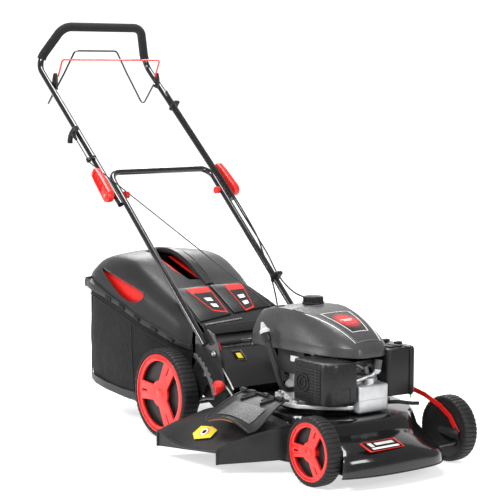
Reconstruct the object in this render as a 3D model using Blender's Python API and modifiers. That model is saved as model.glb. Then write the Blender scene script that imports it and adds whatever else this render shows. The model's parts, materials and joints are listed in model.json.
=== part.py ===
"""Petrol push mower: steel deck, four wheels, OHV engine, folding handle, side chute and grass bag.

Every shape below is written in machine coordinates: X across the machine (the operator's right
hand is at -X), Y towards the operator, Z up, with Y = 0 over the front axle and Z = 0 on the
ground. One root empty moves the whole machine so that the middle of its box is at X = Y = 0.
"""
import math

import bmesh
import bpy
from mathutils import Matrix, Vector

OBJECT_NAME = "push_lawn_mower"

# ---------------------------------------------------------------- driving dimensions (metres)
MID_X = 0.0569                 # where the machine's middle plane stands in the world
FRONT_Y = -0.65108              # where the front axle stands in the world
GAP = 0.0003                   # clearance between pieces that touch

FRONT_RADIUS = 0.090
FRONT_WIDTH = 0.044
FRONT_OUTER = 0.2588           # outer face of a front wheel, from the middle plane
REAR_RADIUS = 0.130
REAR_WIDTH = 0.0528
REAR_OUTER = 0.2498
WHEEL_SIDES = 28

FRONT_AXLE = Vector((0.0, 0.0, FRONT_RADIUS))
REAR_AXLE = Vector((0.0, 0.6886, REAR_RADIUS))
CRANK = Vector((0.0, 0.0598, 0.0254))     # from a height pivot back and up to its axle
FRONT_PIVOT = FRONT_AXLE - CRANK
REAR_PIVOT = REAR_AXLE - CRANK
LINK_OFFSET = Vector((0.0, 0.003, 0.031))  # from a height pivot to its link pin
LINK_X = 0.2098

DECK_BOTTOM = 0.034
DECK_TOP = 0.165
SHEET = 0.0025                 # pressed steel and moulded shells
BLADE_CENTRE_Y = 0.25
BLADE_RADIUS = 0.218

LOWER_TUBE = 0.0095            # radius
LOWER_LEG_X = 0.186
CROSSBAR = Vector((0.0, 1.0488, 0.7444))
LEG_FOOT = Vector((0.0, 0.5485, 0.2865))
UPPER_TUBE = 0.010
UPPER_LEG_X = 0.207
FOLD = Vector((0.0, 0.9795, 0.681))        # the clamp bolts' axis
ELBOW = Vector((0.205, 1.4400, 1.0732))
GRIP_CORNER = Vector((0.146, 1.3740, 1.1880))
FOAM_RADIUS = 0.0142

BRAKE_PIVOT = Vector((0.0, 1.351, 1.008))
DRIVE_PIVOT = Vector((0.0, 1.347, 1.030))

ENGINE_Y = 0.25                # the crankshaft's axis
BELT_Z = 0.154
PULLEY_RADIUS = 0.020
GEARBOX_PULLEY = Vector((0.140, 0.668, BELT_Z))

FLAP_ROD = Vector((0.0, 0.548, 0.284))
SIDE_HINGE = Vector((-0.203, 0.255, 0.1915))
BAG_FRONT_Y = 0.666

# ---------------------------------------------------------------- scene, materials, bodies
for old in list(bpy.data.objects):
    bpy.data.objects.remove(old, do_unlink=True)

parts = bpy.data.collections.new(OBJECT_NAME)
cutters = bpy.data.collections.new("cutters")
bpy.context.scene.collection.children.link(parts)
bpy.context.scene.collection.children.link(cutters)

FINISHES = {
    "deck_paint": ((0.012, 0.012, 0.013), 0.22, 0.0),
    "tube_paint": ((0.015, 0.015, 0.016), 0.28, 0.0),
    "black_plastic": ((0.025, 0.025, 0.027), 0.50, 0.0),
    "cover_plastic": ((0.060, 0.060, 0.064), 0.42, 0.0),
    "guard_paint": ((0.020, 0.020, 0.022), 0.45, 0.0),
    "red_plastic": ((0.80, 0.045, 0.025), 0.32, 0.0),
    "red_paint": ((0.62, 0.015, 0.012), 0.30, 0.0),
    "alloy": ((0.72, 0.73, 0.75), 0.38, 0.9),
    "steel": ((0.55, 0.56, 0.58), 0.30, 1.0),
    "tyre_rubber": ((0.020, 0.020, 0.021), 0.75, 0.0),
    "grip_foam": ((0.030, 0.030, 0.031), 0.90, 0.0),
    "cord_black": ((0.012, 0.012, 0.012), 0.60, 0.0),
    "bag_fabric": ((0.028, 0.028, 0.030), 0.92, 0.0),
}


def make_material(name):
    color, roughness, metallic = FINISHES[name]
    material = bpy.data.materials.new(name)
    material.use_nodes = True
    shader = material.node_tree.nodes["Principled BSDF"]
    shader.inputs["Base Color"].default_value = (*color, 1.0)
    shader.inputs["Roughness"].default_value = roughness
    shader.inputs["Metallic"].default_value = metallic
    return material


materials = {name: make_material(name) for name in FINISHES}

root = bpy.data.objects.new("machine_root", None)
root.location = (MID_X, FRONT_Y, 0.0)
parts.objects.link(root)
pivots = {}


def make_pivot(name, place):
    """An empty on a joint's axis, which the pieces of that body hang from."""
    empty = bpy.data.objects.new("pivot_" + name, None)
    empty.empty_display_size = 0.03
    empty.parent = root
    empty.location = place
    parts.objects.link(empty)
    pivots[name] = empty


def rotate_to(direction):
    """A rotation that turns +Z to a direction."""
    return Vector(direction).to_track_quat("Z", "Y").to_matrix().to_4x4()


# ---------------------------------------------------------------- modelling helpers
def shade(mesh):
    mesh.shade_smooth()
    mesh.set_sharp_from_angle(angle=math.radians(32))


def finish_object(name, mesh, finish, body=None, matrix=None):
    """Link a mesh as one named piece, in machine coordinates, on a body's pivot."""
    mesh.name = name
    shade(mesh)
    mesh.materials.clear()
    mesh.materials.append(materials[finish])
    if matrix is not None:
        mesh.transform(matrix)
    piece = bpy.data.objects.new(name, mesh)
    holder = pivots[body] if body else root
    piece.parent = holder
    if body:
        piece.location = -holder.location
    parts.objects.link(piece)
    return piece


def mesh_from(bm):
    bmesh.ops.recalc_face_normals(bm, faces=bm.faces)
    mesh = bpy.data.meshes.new("shape")
    bm.to_mesh(mesh)
    bm.free()
    return mesh


def box(low, high, bevel=0.0, segments=1):
    low, high = Vector(low), Vector(high)
    bm = bmesh.new()
    bmesh.ops.create_cube(bm, size=1.0)
    size = high - low
    bmesh.ops.scale(bm, vec=size, verts=bm.verts)
    bmesh.ops.translate(bm, vec=(low + high) / 2, verts=bm.verts)
    if bevel:
        bmesh.ops.bevel(bm, geom=bm.edges, offset=bevel, segments=segments, affect="EDGES")
    return mesh_from(bm)


def cylinder(start, end, radius, sides=16, end_radius=None):
    start, end = Vector(start), Vector(end)
    bm = bmesh.new()
    place = Matrix.Translation((start + end) / 2) @ rotate_to(end - start)
    bmesh.ops.create_cone(bm, cap_ends=True, segments=sides, radius1=radius,
                          radius2=radius if end_radius is None else end_radius,
                          depth=(end - start).length, matrix=place)
    return mesh_from(bm)


def loft(rings, closed=True, cap_first=False, cap_last=False):
    """Skin between rings that have the same number of points."""
    bm = bmesh.new()
    rows = [[bm.verts.new(point) for point in ring] for ring in rings]
    count = len(rows[0])
    last = count if closed else count - 1
    for lower, upper in zip(rows, rows[1:]):
        for index in range(last):
            after = (index + 1) % count
            bm.faces.new((lower[index], lower[after], upper[after], upper[index]))
    if cap_first:
        bm.faces.new(rows[0])
    if cap_last:
        bm.faces.new(rows[-1])
    return mesh_from(bm)


def mesh_of(curve_object):
    """Turn a curve object into a mesh with its caps welded, and remove the curve."""
    graph = bpy.context.evaluated_depsgraph_get()
    mesh = bpy.data.meshes.new_from_object(curve_object.evaluated_get(graph))
    mesh.transform(curve_object.matrix_world)
    bpy.data.objects.remove(curve_object, do_unlink=True)
    bm = bmesh.new()
    bm.from_mesh(mesh)
    bmesh.ops.remove_doubles(bm, verts=bm.verts, dist=0.00002)
    bm.to_mesh(mesh)
    bm.free()
    return mesh


def tube(points, radius, resolution=2, capped=True):
    """A round bar along points, as a bevelled curve."""
    curve = bpy.data.curves.new("tube", "CURVE")
    curve.dimensions = "3D"
    spline = curve.splines.new("POLY")
    spline.points.add(len(points) - 1)
    for slot, point in zip(spline.points, points):
        slot.co = (*point, 1.0)
    curve.bevel_depth = radius
    curve.bevel_resolution = resolution
    curve.use_fill_caps = capped
    holder = bpy.data.objects.new("tube", curve)
    bpy.context.scene.collection.objects.link(holder)
    bpy.context.view_layer.update()
    return mesh_of(holder)


AXES = {
    "XY": Matrix.Identity(4),
    "YZ": Matrix(((0, 0, 1, 0), (1, 0, 0, 0), (0, 1, 0, 0), (0, 0, 0, 1))),
}


def plate(outlines, thickness, plane, offset):
    """A flat outline, with any holes as further outlines, as thick as asked about its middle."""
    curve = bpy.data.curves.new("plate", "CURVE")
    curve.dimensions = "2D"
    curve.fill_mode = "BOTH"
    curve.extrude = thickness / 2
    for outline in outlines:
        spline = curve.splines.new("POLY")
        spline.points.add(len(outline) - 1)
        for slot, point in zip(spline.points, outline):
            slot.co = (point[0], point[1], 0.0, 1.0)
        spline.use_cyclic_u = True
    holder = bpy.data.objects.new("plate", curve)
    holder.matrix_world = AXES[plane] @ Matrix.Translation((0.0, 0.0, offset))
    bpy.context.scene.collection.objects.link(holder)
    bpy.context.view_layer.update()
    return mesh_of(holder)


def arc(centre, radius, start, end, steps):
    """Points on a circle, with the angles in degrees."""
    angles = [math.radians(start + (end - start) * step / steps) for step in range(steps + 1)]
    return [(centre[0] + radius * math.cos(a), centre[1] + radius * math.sin(a)) for a in angles]


def circle(centre, radius, sides=16):
    return arc(centre, radius, 0.0, 360.0 * (sides - 1) / sides, sides - 1)


def strip_outline(line, thickness):
    """The closed outline of a bent strip about its centre line."""
    points = [Vector(point) for point in line]
    above, below = [], []
    for index, point in enumerate(points):
        run = points[min(index + 1, len(points) - 1)] - points[max(index - 1, 0)]
        across = Vector((-run.y, run.x)).normalized() * (thickness / 2)
        above.append(point + across)
        below.append(point - across)
    return [tuple(point) for point in above + below[::-1]]


def bent(corners, radii, steps=4):
    """A path through corners, each inner corner rounded to its own radius."""
    corners = [Vector(corner) for corner in corners]
    path = [corners[0]]
    for before, corner, after, radius in zip(corners, corners[1:], corners[2:], radii):
        inward = (before - corner).normalized()
        outward = (after - corner).normalized()
        half = inward.angle(outward) / 2
        if half > math.radians(88):
            path.append(corner)
            continue
        reach = radius / math.tan(half)
        centre = corner + (inward + outward).normalized() * (radius / math.sin(half))
        first = corner + inward * reach - centre
        last = corner + outward * reach - centre
        sweep = first.angle(last)
        for step in range(steps + 1):
            share = step / steps
            blended = first * math.sin((1 - share) * sweep) + last * math.sin(share * sweep)
            path.append(centre + blended / math.sin(sweep))
    path.append(corners[-1])
    return path


def smooth(points, steps=4):
    """Points on a Catmull-Rom curve through the given points."""
    points = [Vector(point) for point in points]
    padded = [points[0] * 2 - points[1], *points, points[-1] * 2 - points[-2]]
    path = []
    for a, b, c, d in zip(padded, padded[1:], padded[2:], padded[3:]):
        for step in range(steps):
            t = step / steps
            path.append(0.5 * (2 * b + (c - a) * t + (2 * a - 5 * b + 4 * c - d) * t * t
                               + (3 * b - a - 3 * c + d) * t ** 3))
    path.append(points[-1])
    return path


def mirrored(points):
    return [Vector((-point.x, point.y, point.z)) for point in reversed(points)]


def lathe(name, profile, finish, body, place, axis="Z", steps=24, turn=0.0):
    """A turned piece: its closed profile runs down the outer side and back up the inner one."""
    bm = bmesh.new()
    corners = [bm.verts.new((radius, 0.0, height)) for radius, height in profile]
    on_axis = profile[0][0] == 0.0 and profile[-1][0] == 0.0
    pairs = zip(corners, corners[1:] if on_axis else corners[1:] + corners[:1])
    for first, second in pairs:
        bm.edges.new((first, second))
    mesh = bpy.data.meshes.new(name)
    bm.to_mesh(mesh)
    bm.free()
    mesh.materials.append(materials[finish])
    piece = bpy.data.objects.new(name, mesh)
    screw = piece.modifiers.new("turn", "SCREW")
    screw.axis = "Z"
    screw.steps = steps
    screw.render_steps = steps
    screw.use_merge_vertices = True
    screw.merge_threshold = 0.00005
    screw.use_smooth_shade = True
    holder = pivots[body] if body else root
    piece.parent = holder
    piece.location = Vector(place) - (holder.location if body else Vector())
    if axis == "X":
        piece.rotation_euler = (0.0, math.pi / 2, 0.0)
    elif axis == "-X":
        piece.rotation_euler = (0.0, -math.pi / 2, 0.0)
    if turn:
        piece.rotation_euler.rotate_axis("Z", turn)
    parts.objects.link(piece)
    return piece


def cut(piece, mesh, operation="DIFFERENCE"):
    """Cut a closed mesh, in machine coordinates, out of a piece, or join it on."""
    cutter = bpy.data.objects.new("cutter_" + piece.name, mesh)
    cutter.parent = root
    cutter.hide_render = True
    cutter.display_type = "WIRE"
    cutters.objects.link(cutter)
    boolean = piece.modifiers.new("boolean", "BOOLEAN")
    boolean.object = cutter
    boolean.operation = operation
    boolean.solver = "EXACT"
    return piece


def thicken(piece, thickness, offset=-1.0):
    solid = piece.modifiers.new("sheet", "SOLIDIFY")
    solid.thickness = thickness
    solid.offset = offset
    solid.use_even_offset = True
    return piece


def add_box(name, low, high, finish, body=None, bevel=0.0, segments=1):
    return finish_object(name, box(low, high, bevel, segments), finish, body)


def add_rod(name, start, end, radius, finish, body=None, sides=16):
    return finish_object(name, cylinder(start, end, radius, sides), finish, body)


# ---------------------------------------------------------------- deck
# Far and near halves differ: the far front corner is cut back round the blade, and the near
# front corner carries the bumper in front of the wheel.
DECK_OUTLINE = [
    (-0.231, -0.108), (-0.150, -0.131), (-0.070, -0.138), (0.020, -0.138), (0.090, -0.128),
    (0.128, -0.095), (0.155, -0.050), (0.172, 0.000), (0.188, 0.060), (0.212, 0.115),
    (0.232, 0.180), (0.238, 0.270), (0.234, 0.360), (0.212, 0.445), (0.170, 0.510),
    (0.090, 0.545), (0.000, 0.552), (-0.090, 0.545), (-0.170, 0.510), (-0.212, 0.445),
    (-0.234, 0.360), (-0.238, 0.270), (-0.234, 0.180), (-0.226, 0.112), (-0.202, 0.098),
    (-0.202, 0.000), (-0.202, -0.090),
]
# Height, how far the sides come in, and the line that the front doesn't pass.
DECK_LEVELS = [
    (DECK_BOTTOM, 0.000, -0.140), (0.080, 0.004, -0.132), (0.092, 0.007, -0.122),
    (0.122, 0.014, -0.088), (0.128, 0.018, -0.040), (0.158, 0.028, 0.004), (DECK_TOP, 0.036, 0.018),
]


def deck_ring(height, inset, front):
    """One level of the deck; the last points climb the near front corner in small steps."""
    ring = []
    corner_steps = {len(DECK_OUTLINE) - 2: 0.024, len(DECK_OUTLINE) - 1: 0.012}
    for index, (x, y) in enumerate(DECK_OUTLINE):
        inward = Vector((-x, BLADE_CENTRE_Y - y)).normalized() * inset
        across = x + inward.x
        if index == 0 and height > 0.115:
            across = -0.200 + inset * 0.7
        ring.append((across, max(y + inward.y, front + corner_steps.get(index, 0.0)), height))
    return ring


def build_deck():
    rings = [deck_ring(*level) for level in DECK_LEVELS]
    deck = finish_object("deck_shell", loft(rings, cap_last=True), "deck_paint")
    thicken(deck, SHEET)
    crank_hole = cylinder((0, ENGINE_Y, 0.13), (0, ENGINE_Y, 0.20), 0.024, 24)
    rear_mouth = box((-0.1570, 0.4500, 0.0400), (0.0410, 0.6200, 0.2000))
    belt_exit = box((0.0470, 0.4200, 0.1440), (0.1700, 0.6200, 0.1610))
    side_mouth = box((-0.2600, 0.1500, 0.0480), (-0.1900, 0.4300, 0.1400))
    axle_hole = cylinder(FRONT_PIVOT - Vector((0.26, 0, 0)), FRONT_PIVOT + Vector((0.26, 0, 0)),
                         0.0075, 16)
    for cutter in (crank_hole, rear_mouth, belt_exit, side_mouth, axle_hole):
        cut(deck, cutter)


def build_tunnel():
    """The duct that lifts the clippings over the rear axle and into the bag."""
    left, right = -0.1550, 0.0390
    sections = [(0.4575, 0.050, 0.172), (0.5300, 0.090, 0.2680), (0.6400, 0.152, 0.2980)]
    rings = [[(left, y, low), (right, y, low), (right, y, high), (left, y, high)]
             for y, low, high in sections]
    tunnel = finish_object("rear_tunnel", loft(rings), "deck_paint")
    thicken(tunnel, SHEET)


def build_brackets():
    """Steel side plates that carry the lower handle and the rear height pivot."""
    outline = [(0.470, 0.1680), (0.486, 0.2300), (0.500, 0.2850), (0.522, 0.3160), (0.556, 0.3260),
               (0.590, 0.3080), (0.602, 0.2500), (0.656, 0.1500), (0.656, 0.0880), (0.606, 0.0880),
               (0.576, 0.1400), (0.560, 0.1680)]
    pivot_hole = circle((REAR_PIVOT.y, REAR_PIVOT.z), 0.0063 / math.cos(math.pi / 16))
    for side, name in ((-1, "right"), (1, "left")):
        mesh = plate([outline, pivot_hole], SHEET, "YZ", side * 0.1725)
        finish_object("handle_bracket_" + name, mesh, "deck_paint")


# ---------------------------------------------------------------- engine
def build_engine():
    axis = (0.0, ENGINE_Y)
    flange = plate([circle(axis, 0.080, 28)], 0.012, "XY", DECK_TOP + GAP + 0.006)
    block = finish_object("engine_block", flange, "alloy")
    cut(block, box((-0.080, 0.1935, 0.170), (0.080, 0.340, 0.2850), 0.006), "UNION")
    cut(block, box((-0.044, 0.1500, 0.1765), (0.044, 0.2100, 0.2600)), "UNION")
    cut(block, cylinder((*axis, 0.15), (*axis, 0.30), 0.0132, 20))

    add_box("cylinder_head", (-0.054, 0.037, 0.1680), (0.047, 0.1497, 0.2400), "alloy",
            bevel=0.006, segments=2)
    add_box("carburetor", (-0.030, 0.062, 0.2403), (0.0460, 0.125, 0.2820), "black_plastic",
            bevel=0.003)
    add_box("muffler", (-0.146, 0.056, 0.1960), (-0.0550, 0.150, 0.2800), "steel", bevel=0.008)

    # The guard is a pressed box, open towards the cylinder.
    guard = box((-0.1600, 0.0340, 0.1840), (-0.0200, 0.1880, 0.2980), 0.014, 2)
    guard = finish_object("muffler_guard", guard, "guard_paint")
    cut(guard, box((-0.1575, 0.0365, 0.1865), (-0.0226, 0.1855, 0.2955), 0.012, 2))
    cut(guard, box((-0.0640, 0.0200, 0.1600), (0.0, 0.2000, 0.3100)))

    # The filter case and its lid are on the other side of the cylinder.
    case = add_box("air_filter_case", (0.0560, 0.0450, 0.1860), (0.1270, 0.1900, 0.3080),
                   "black_plastic", bevel=0.006)
    cut(case, box((0.0600, 0.0490, 0.1900), (0.1400, 0.1860, 0.3040), 0.004))
    lid = add_box("air_filter_lid", (0.1275, 0.0420, 0.1830), (0.1480, 0.1930, 0.3110),
                  "black_plastic", "air_filter_lid", bevel=0.007)
    cut(lid, box((0.1200, 0.0480, 0.1890), (0.1440, 0.1870, 0.3050), 0.004))


def cover_ring(height, half_width, front, rear, power):
    """A rounded outline of the engine cover at one height."""
    middle = (front + rear) / 2
    half_length = (rear - front) / 2
    ring = []
    for step in range(24):
        angle = math.tau * step / 24
        cos, sin = math.cos(angle), math.sin(angle)
        x = half_width * math.copysign(abs(cos) ** power, cos)
        y = half_length * math.copysign(abs(sin) ** power, sin)
        ring.append((x, middle + y, height))
    return ring


COVER_LEVELS = [
    (0.3100, 0.1180, 0.0460, 0.4520, 0.80), (0.3280, 0.1180, 0.0490, 0.4510, 0.80),
    (0.3520, 0.1130, 0.0740, 0.4460, 0.80), (0.3780, 0.1020, 0.1160, 0.4360, 0.82),
    (0.3990, 0.0850, 0.1700, 0.4180, 0.86), (0.4100, 0.0600, 0.2200, 0.3900, 0.95),
]
FUEL_CAP = Vector((0.020, 0.322, 0.4020))
ROPE_SLOT = Vector((-0.062, 0.362, 0.3900))


def build_cover():
    rings = [cover_ring(*level) for level in COVER_LEVELS]
    cover = finish_object("engine_cover", loft(rings, cap_last=True), "cover_plastic")
    thicken(cover, SHEET)
    cut(cover, cylinder(FUEL_CAP - Vector((0, 0, 0.06)), FUEL_CAP + Vector((0, 0, 0.05)), 0.0240, 20))
    cut(cover, box(ROPE_SLOT + Vector((-0.020, -0.010, -0.03)), ROPE_SLOT + Vector((0.012, 0.030, 0.04))))

    tank = add_box("fuel_tank", (-0.045, 0.3050, 0.3200), (0.045, 0.3920, 0.3680), "black_plastic",
                   bevel=0.010)
    neck = cylinder((FUEL_CAP.x, FUEL_CAP.y, 0.360), (FUEL_CAP.x, FUEL_CAP.y, FUEL_CAP.z - GAP), 0.0120, 16)
    cut(tank, neck, "UNION")
    profile = [(0.0, 0.4335), (0.0270, 0.4335), (0.0310, 0.4300), (0.0310, 0.4120), (0.0210, 0.4110),
               (0.0210, FUEL_CAP.z), (0.0, FUEL_CAP.z)]
    lathe("fuel_cap", profile, "black_plastic", "fuel_cap", (FUEL_CAP.x, FUEL_CAP.y, 0.0))


DIP_FOOT = Vector((-0.1380, 0.2560, 0.1950))
DIP_TOP = Vector((-0.1410, 0.3300, 0.3430))


def build_dipstick():
    path = bent([Vector((-0.0810, 0.2560, 0.1950)), DIP_FOOT, DIP_TOP], [0.025])
    finish_object("dipstick_tube", tube(path, 0.0090, 4), "black_plastic")
    along = (DIP_TOP - DIP_FOOT).normalized()
    cap = finish_object("dipstick_cap", cylinder(DIP_TOP + along * GAP, DIP_TOP + along * 0.014, 0.0145, 20),
                        "alloy", "dipstick_cap")
    knob = cylinder(DIP_TOP + along * 0.012, DIP_TOP + along * 0.034, 0.0090, 12, 0.0030)
    cut(cap, knob, "UNION")


def build_cutter():
    """Everything that turns on the crankshaft, and the starter reel above it."""
    shaft = [(0.0, 0.3200), (0.0120, 0.3200), (0.0120, 0.3140), (0.0820, 0.3140), (0.0820, 0.2920),
             (0.0300, 0.2880), (0.0125, 0.2880), (0.0125, 0.0560), (0.0, 0.0560)]
    place = (0.0, ENGINE_Y, 0.0)
    lathe("crankshaft", shaft, "steel", "cutter", place)
    holder = [(0.0, 0.0550), (0.0128, 0.0550), (0.0128, BELT_Z + 0.004), (PULLEY_RADIUS, BELT_Z + 0.004),
              (PULLEY_RADIUS, BELT_Z - 0.004), (0.0165, BELT_Z - 0.006), (0.0165, 0.0620),
              (0.0300, 0.0560), (0.0300, 0.0460), (0.0, 0.0460)]
    lathe("blade_holder", holder, "steel", "cutter", place)
    long, tip, width = BLADE_RADIUS, 0.150, 0.026
    outline = [(-long, ENGINE_Y - 0.020), (-tip, ENGINE_Y - width), (tip, ENGINE_Y - width),
               (long, ENGINE_Y - width), (long, ENGINE_Y + 0.020), (tip, ENGINE_Y + width),
               (-tip, ENGINE_Y + width), (-long, ENGINE_Y + width)]
    finish_object("blade", plate([outline], 0.0034, "XY", 0.0440), "steel", "cutter")
    reel = [(0.0, 0.3600), (0.0480, 0.3600), (0.0480, 0.3560), (0.0400, 0.3540), (0.0400, 0.3460),
            (0.0480, 0.3440), (0.0480, 0.3400), (0.0, 0.3400)]
    lathe("starter_reel", reel, "black_plastic", "starter_reel", place)


# ---------------------------------------------------------------- drive to the rear wheels
def belt_loop(reach):
    """The outline of a belt that runs round both pulleys at a distance from their axes."""
    start = Vector((0.0, ENGINE_Y))
    end = GEARBOX_PULLEY.xy
    heading = math.degrees(math.atan2(end.y - start.y, end.x - start.x))
    return (arc(end, reach, heading - 90, heading + 90, 8)
            + arc(start, reach, heading + 90, heading + 270, 8))


def build_drive():
    inside = (PULLEY_RADIUS + GAP) / math.cos(math.pi / 16)
    belt = plate([belt_loop(inside + 0.0045), belt_loop(inside)], 0.007, "XY", BELT_Z)
    finish_object("drive_belt", belt, "tyre_rubber")
    gearbox = add_box("gearbox", (0.1150, 0.6450, 0.1080), (0.1660, 0.7300, 0.1470), "alloy",
                      "rear_height", bevel=0.005)
    cut(gearbox, cylinder(REAR_AXLE + Vector((0.10, 0, 0)), REAR_AXLE + Vector((0.18, 0, 0)), 0.0065))
    pulley = [(0.0, 0.1590), (PULLEY_RADIUS, 0.1590), (PULLEY_RADIUS, 0.1500), (0.0070, 0.1495),
              (0.0070, 0.1473), (0.0, 0.1473)]
    lathe("gearbox_pulley", pulley, "steel", "gearbox_pulley", (GEARBOX_PULLEY.x, GEARBOX_PULLEY.y, 0.0))
    reach = REAR_OUTER - 0.0045
    add_rod("rear_drive_axle", REAR_AXLE - Vector((reach, 0, 0)), REAR_AXLE + Vector((reach, 0, 0)),
            0.0060, "steel", "rear_height")


# ---------------------------------------------------------------- cutting height
def arm_outline(pivot, width, with_link):
    """A crank arm's outline round its pivot, its axle and, on one side, its link pin."""
    axle = pivot + CRANK
    heading = math.degrees(math.atan2(CRANK.z, CRANK.y))
    outline = arc((axle.y, axle.z), width, heading - 90, heading + 90, 6)
    if with_link:
        pin = pivot + LINK_OFFSET
        outline += arc((pin.y, pin.z), 0.008, 30, 170, 5)
    outline += arc((pivot.y, pivot.z), width, heading + 110, heading + 270, 6)
    return outline


def build_height():
    """Two cranked axle frames that swing together, their link, and the hand lever."""
    reach = Vector((0.2060, 0, 0))
    front = cylinder(FRONT_PIVOT - reach, FRONT_PIVOT + reach, 0.0050, 16)
    front = finish_object("front_axle_frame", front, "steel", "front_height")
    rear = cylinder(REAR_PIVOT - Vector((0.1820, 0, 0)), REAR_PIVOT + Vector((0.1820, 0, 0)), 0.0060, 16)
    rear = finish_object("rear_axle_frame", rear, "steel", "rear_height")
    for side in (-1, 1):
        with_link = side > 0
        arm = plate([arm_outline(FRONT_PIVOT, 0.011, with_link)], 0.0030, "YZ", side * 0.2060)
        cut(front, arm, "UNION")
        stub = cylinder(FRONT_AXLE + Vector((side * 0.2060, 0, 0)),
                        FRONT_AXLE + Vector((side * 0.2540, 0, 0)), 0.0060, 16)
        cut(front, stub, "UNION")
        arm = plate([arm_outline(REAR_PIVOT, 0.013, with_link)], 0.0032, "YZ", side * 0.1810)
        cut(rear, arm, "UNION")
    hole = cylinder(REAR_AXLE - Vector((0.20, 0, 0)), REAR_AXLE + Vector((0.20, 0, 0)), 0.0063, 16)
    cut(rear, hole)

    # The link: a flat strip, its width upright, that jogs in over the deck's shoulder.
    near_x, far_x = LINK_X, 0.1865
    first = FRONT_PIVOT + LINK_OFFSET
    last = REAR_PIVOT + LINK_OFFSET
    centre_line = [(near_x, first.y - 0.006, first.z - 0.005), (near_x, first.y, first.z),
                   (near_x, -0.030, 0.130), (near_x, 0.010, 0.153), (near_x, 0.070, 0.174),
                   (far_x, 0.110, 0.192), (far_x, 0.300, 0.200), (far_x, 0.520, 0.194),
                   (far_x, last.y, last.z), (far_x, last.y + 0.006, last.z - 0.006)]
    rings = []
    for index, (x, y, z) in enumerate(centre_line):
        before = Vector(centre_line[max(index - 1, 0)])
        after = Vector(centre_line[min(index + 1, len(centre_line) - 1)])
        run = after - before
        across = Vector((0.0, -run.z, run.y)).normalized() * 0.0065
        half = 0.0012
        rings.append([(x - half, y - across.y, z - across.z), (x + half, y - across.y, z - across.z),
                      (x + half, y + across.y, z + across.z), (x - half, y + across.y, z + across.z)])
    strip = loft(rings, cap_first=True, cap_last=True)
    finish_object("height_link", strip, "red_paint", "height_link")

    path = [Vector((-0.1876, 0.6150, 0.1150)), Vector((-0.1876, 0.5500, 0.1310)),
            Vector((-0.2150, 0.5260, 0.1390)), Vector((-0.2150, 0.4660, 0.1500)),
            Vector((-0.2150, 0.4540, 0.1660))]
    lever = tube(bent(path, [0.008, 0.008, 0.006], 3), 0.0040)
    finish_object("height_lever", lever, "steel", "height_lever")
    along = (path[4] - path[3]).normalized()
    start = path[4] + along * GAP
    knob = cylinder(start, start + along * 0.030, 0.0100, 16, 0.0150)
    knob = finish_object("height_knob", knob, "red_plastic", "height_lever")
    cut(knob, cylinder(start + along * 0.026, start + along * 0.038, 0.0150, 16, 0.0080), "UNION")

    centre = (REAR_PIVOT.y, REAR_PIVOT.z)
    notches = []
    for step in range(8):
        angle = 162 - step * 6.6
        notches += arc(centre, 0.1700, angle, angle - 3.3, 1)
        notches += arc(centre, 0.1660, angle - 3.3, angle - 6.6, 1)
    outline = notches + arc(centre, 0.1520, 162 - 8 * 6.6, 162, 8)
    finish_object("height_quadrant", plate([outline], 0.0020, "YZ", -0.2055), "steel")


# ---------------------------------------------------------------- wheels
def build_wheel(name, body, centre, side, radius, width, outer, rim_radius):
    """A tyre on a moulded rim. The profile's height runs from the middle plane outwards."""
    corner = radius / math.cos(math.pi / WHEEL_SIDES)
    bead = rim_radius / math.cos(math.pi / WHEEL_SIDES)
    inner = outer - width
    tyre = [(corner - 0.004, outer), (corner, outer - 0.006), (corner, inner + 0.006),
            (corner - 0.004, inner), (bead, inner), (bead, outer)]
    axis = "X" if side > 0 else "-X"
    half_step = math.pi / WHEEL_SIDES
    lathe("tyre_" + name, tyre, "tyre_rubber", body, (0, centre.y, centre.z), axis, WHEEL_SIDES, half_step)
    bore = 0.0064 / math.cos(math.pi / WHEEL_SIDES)
    edge = bead - GAP * 1.5
    rim = [(0.0, outer - 0.0006), (0.020, outer - 0.0012), (edge - 0.009, outer - 0.010),
           (edge, outer - 0.0015),
           (edge, inner + 0.004), (edge - 0.006, outer - 0.016), (0.020, outer - 0.014),
           (0.018, inner + 0.002), (bore, inner + 0.002), (bore, outer - 0.0040), (0.0, outer - 0.0040)]
    lathe("rim_" + name, rim, "red_plastic", body, (0, centre.y, centre.z), axis, WHEEL_SIDES, half_step)


def build_wheels():
    for side, name in ((-1, "right"), (1, "left")):
        build_wheel("front_" + name, "wheel_front_" + name, FRONT_AXLE, side, FRONT_RADIUS,
                    FRONT_WIDTH, FRONT_OUTER, 0.0781)
        build_wheel("rear_" + name, "wheel_rear_" + name, REAR_AXLE, side, REAR_RADIUS,
                    REAR_WIDTH, REAR_OUTER, 0.1158)


# ---------------------------------------------------------------- handle
TUBE_RUN = (ELBOW - Vector((ELBOW.x, FOLD.y, FOLD.z))).normalized()
TUBE_UP = Vector((0.0, -TUBE_RUN.z, TUBE_RUN.y))     # square to the tube, upwards


def on_tube(along, x, up=0.0):
    """A point beside the upper tube, from the fold axis."""
    return Vector((x, FOLD.y, FOLD.z)) + TUBE_RUN * along + TUBE_UP * up


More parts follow.
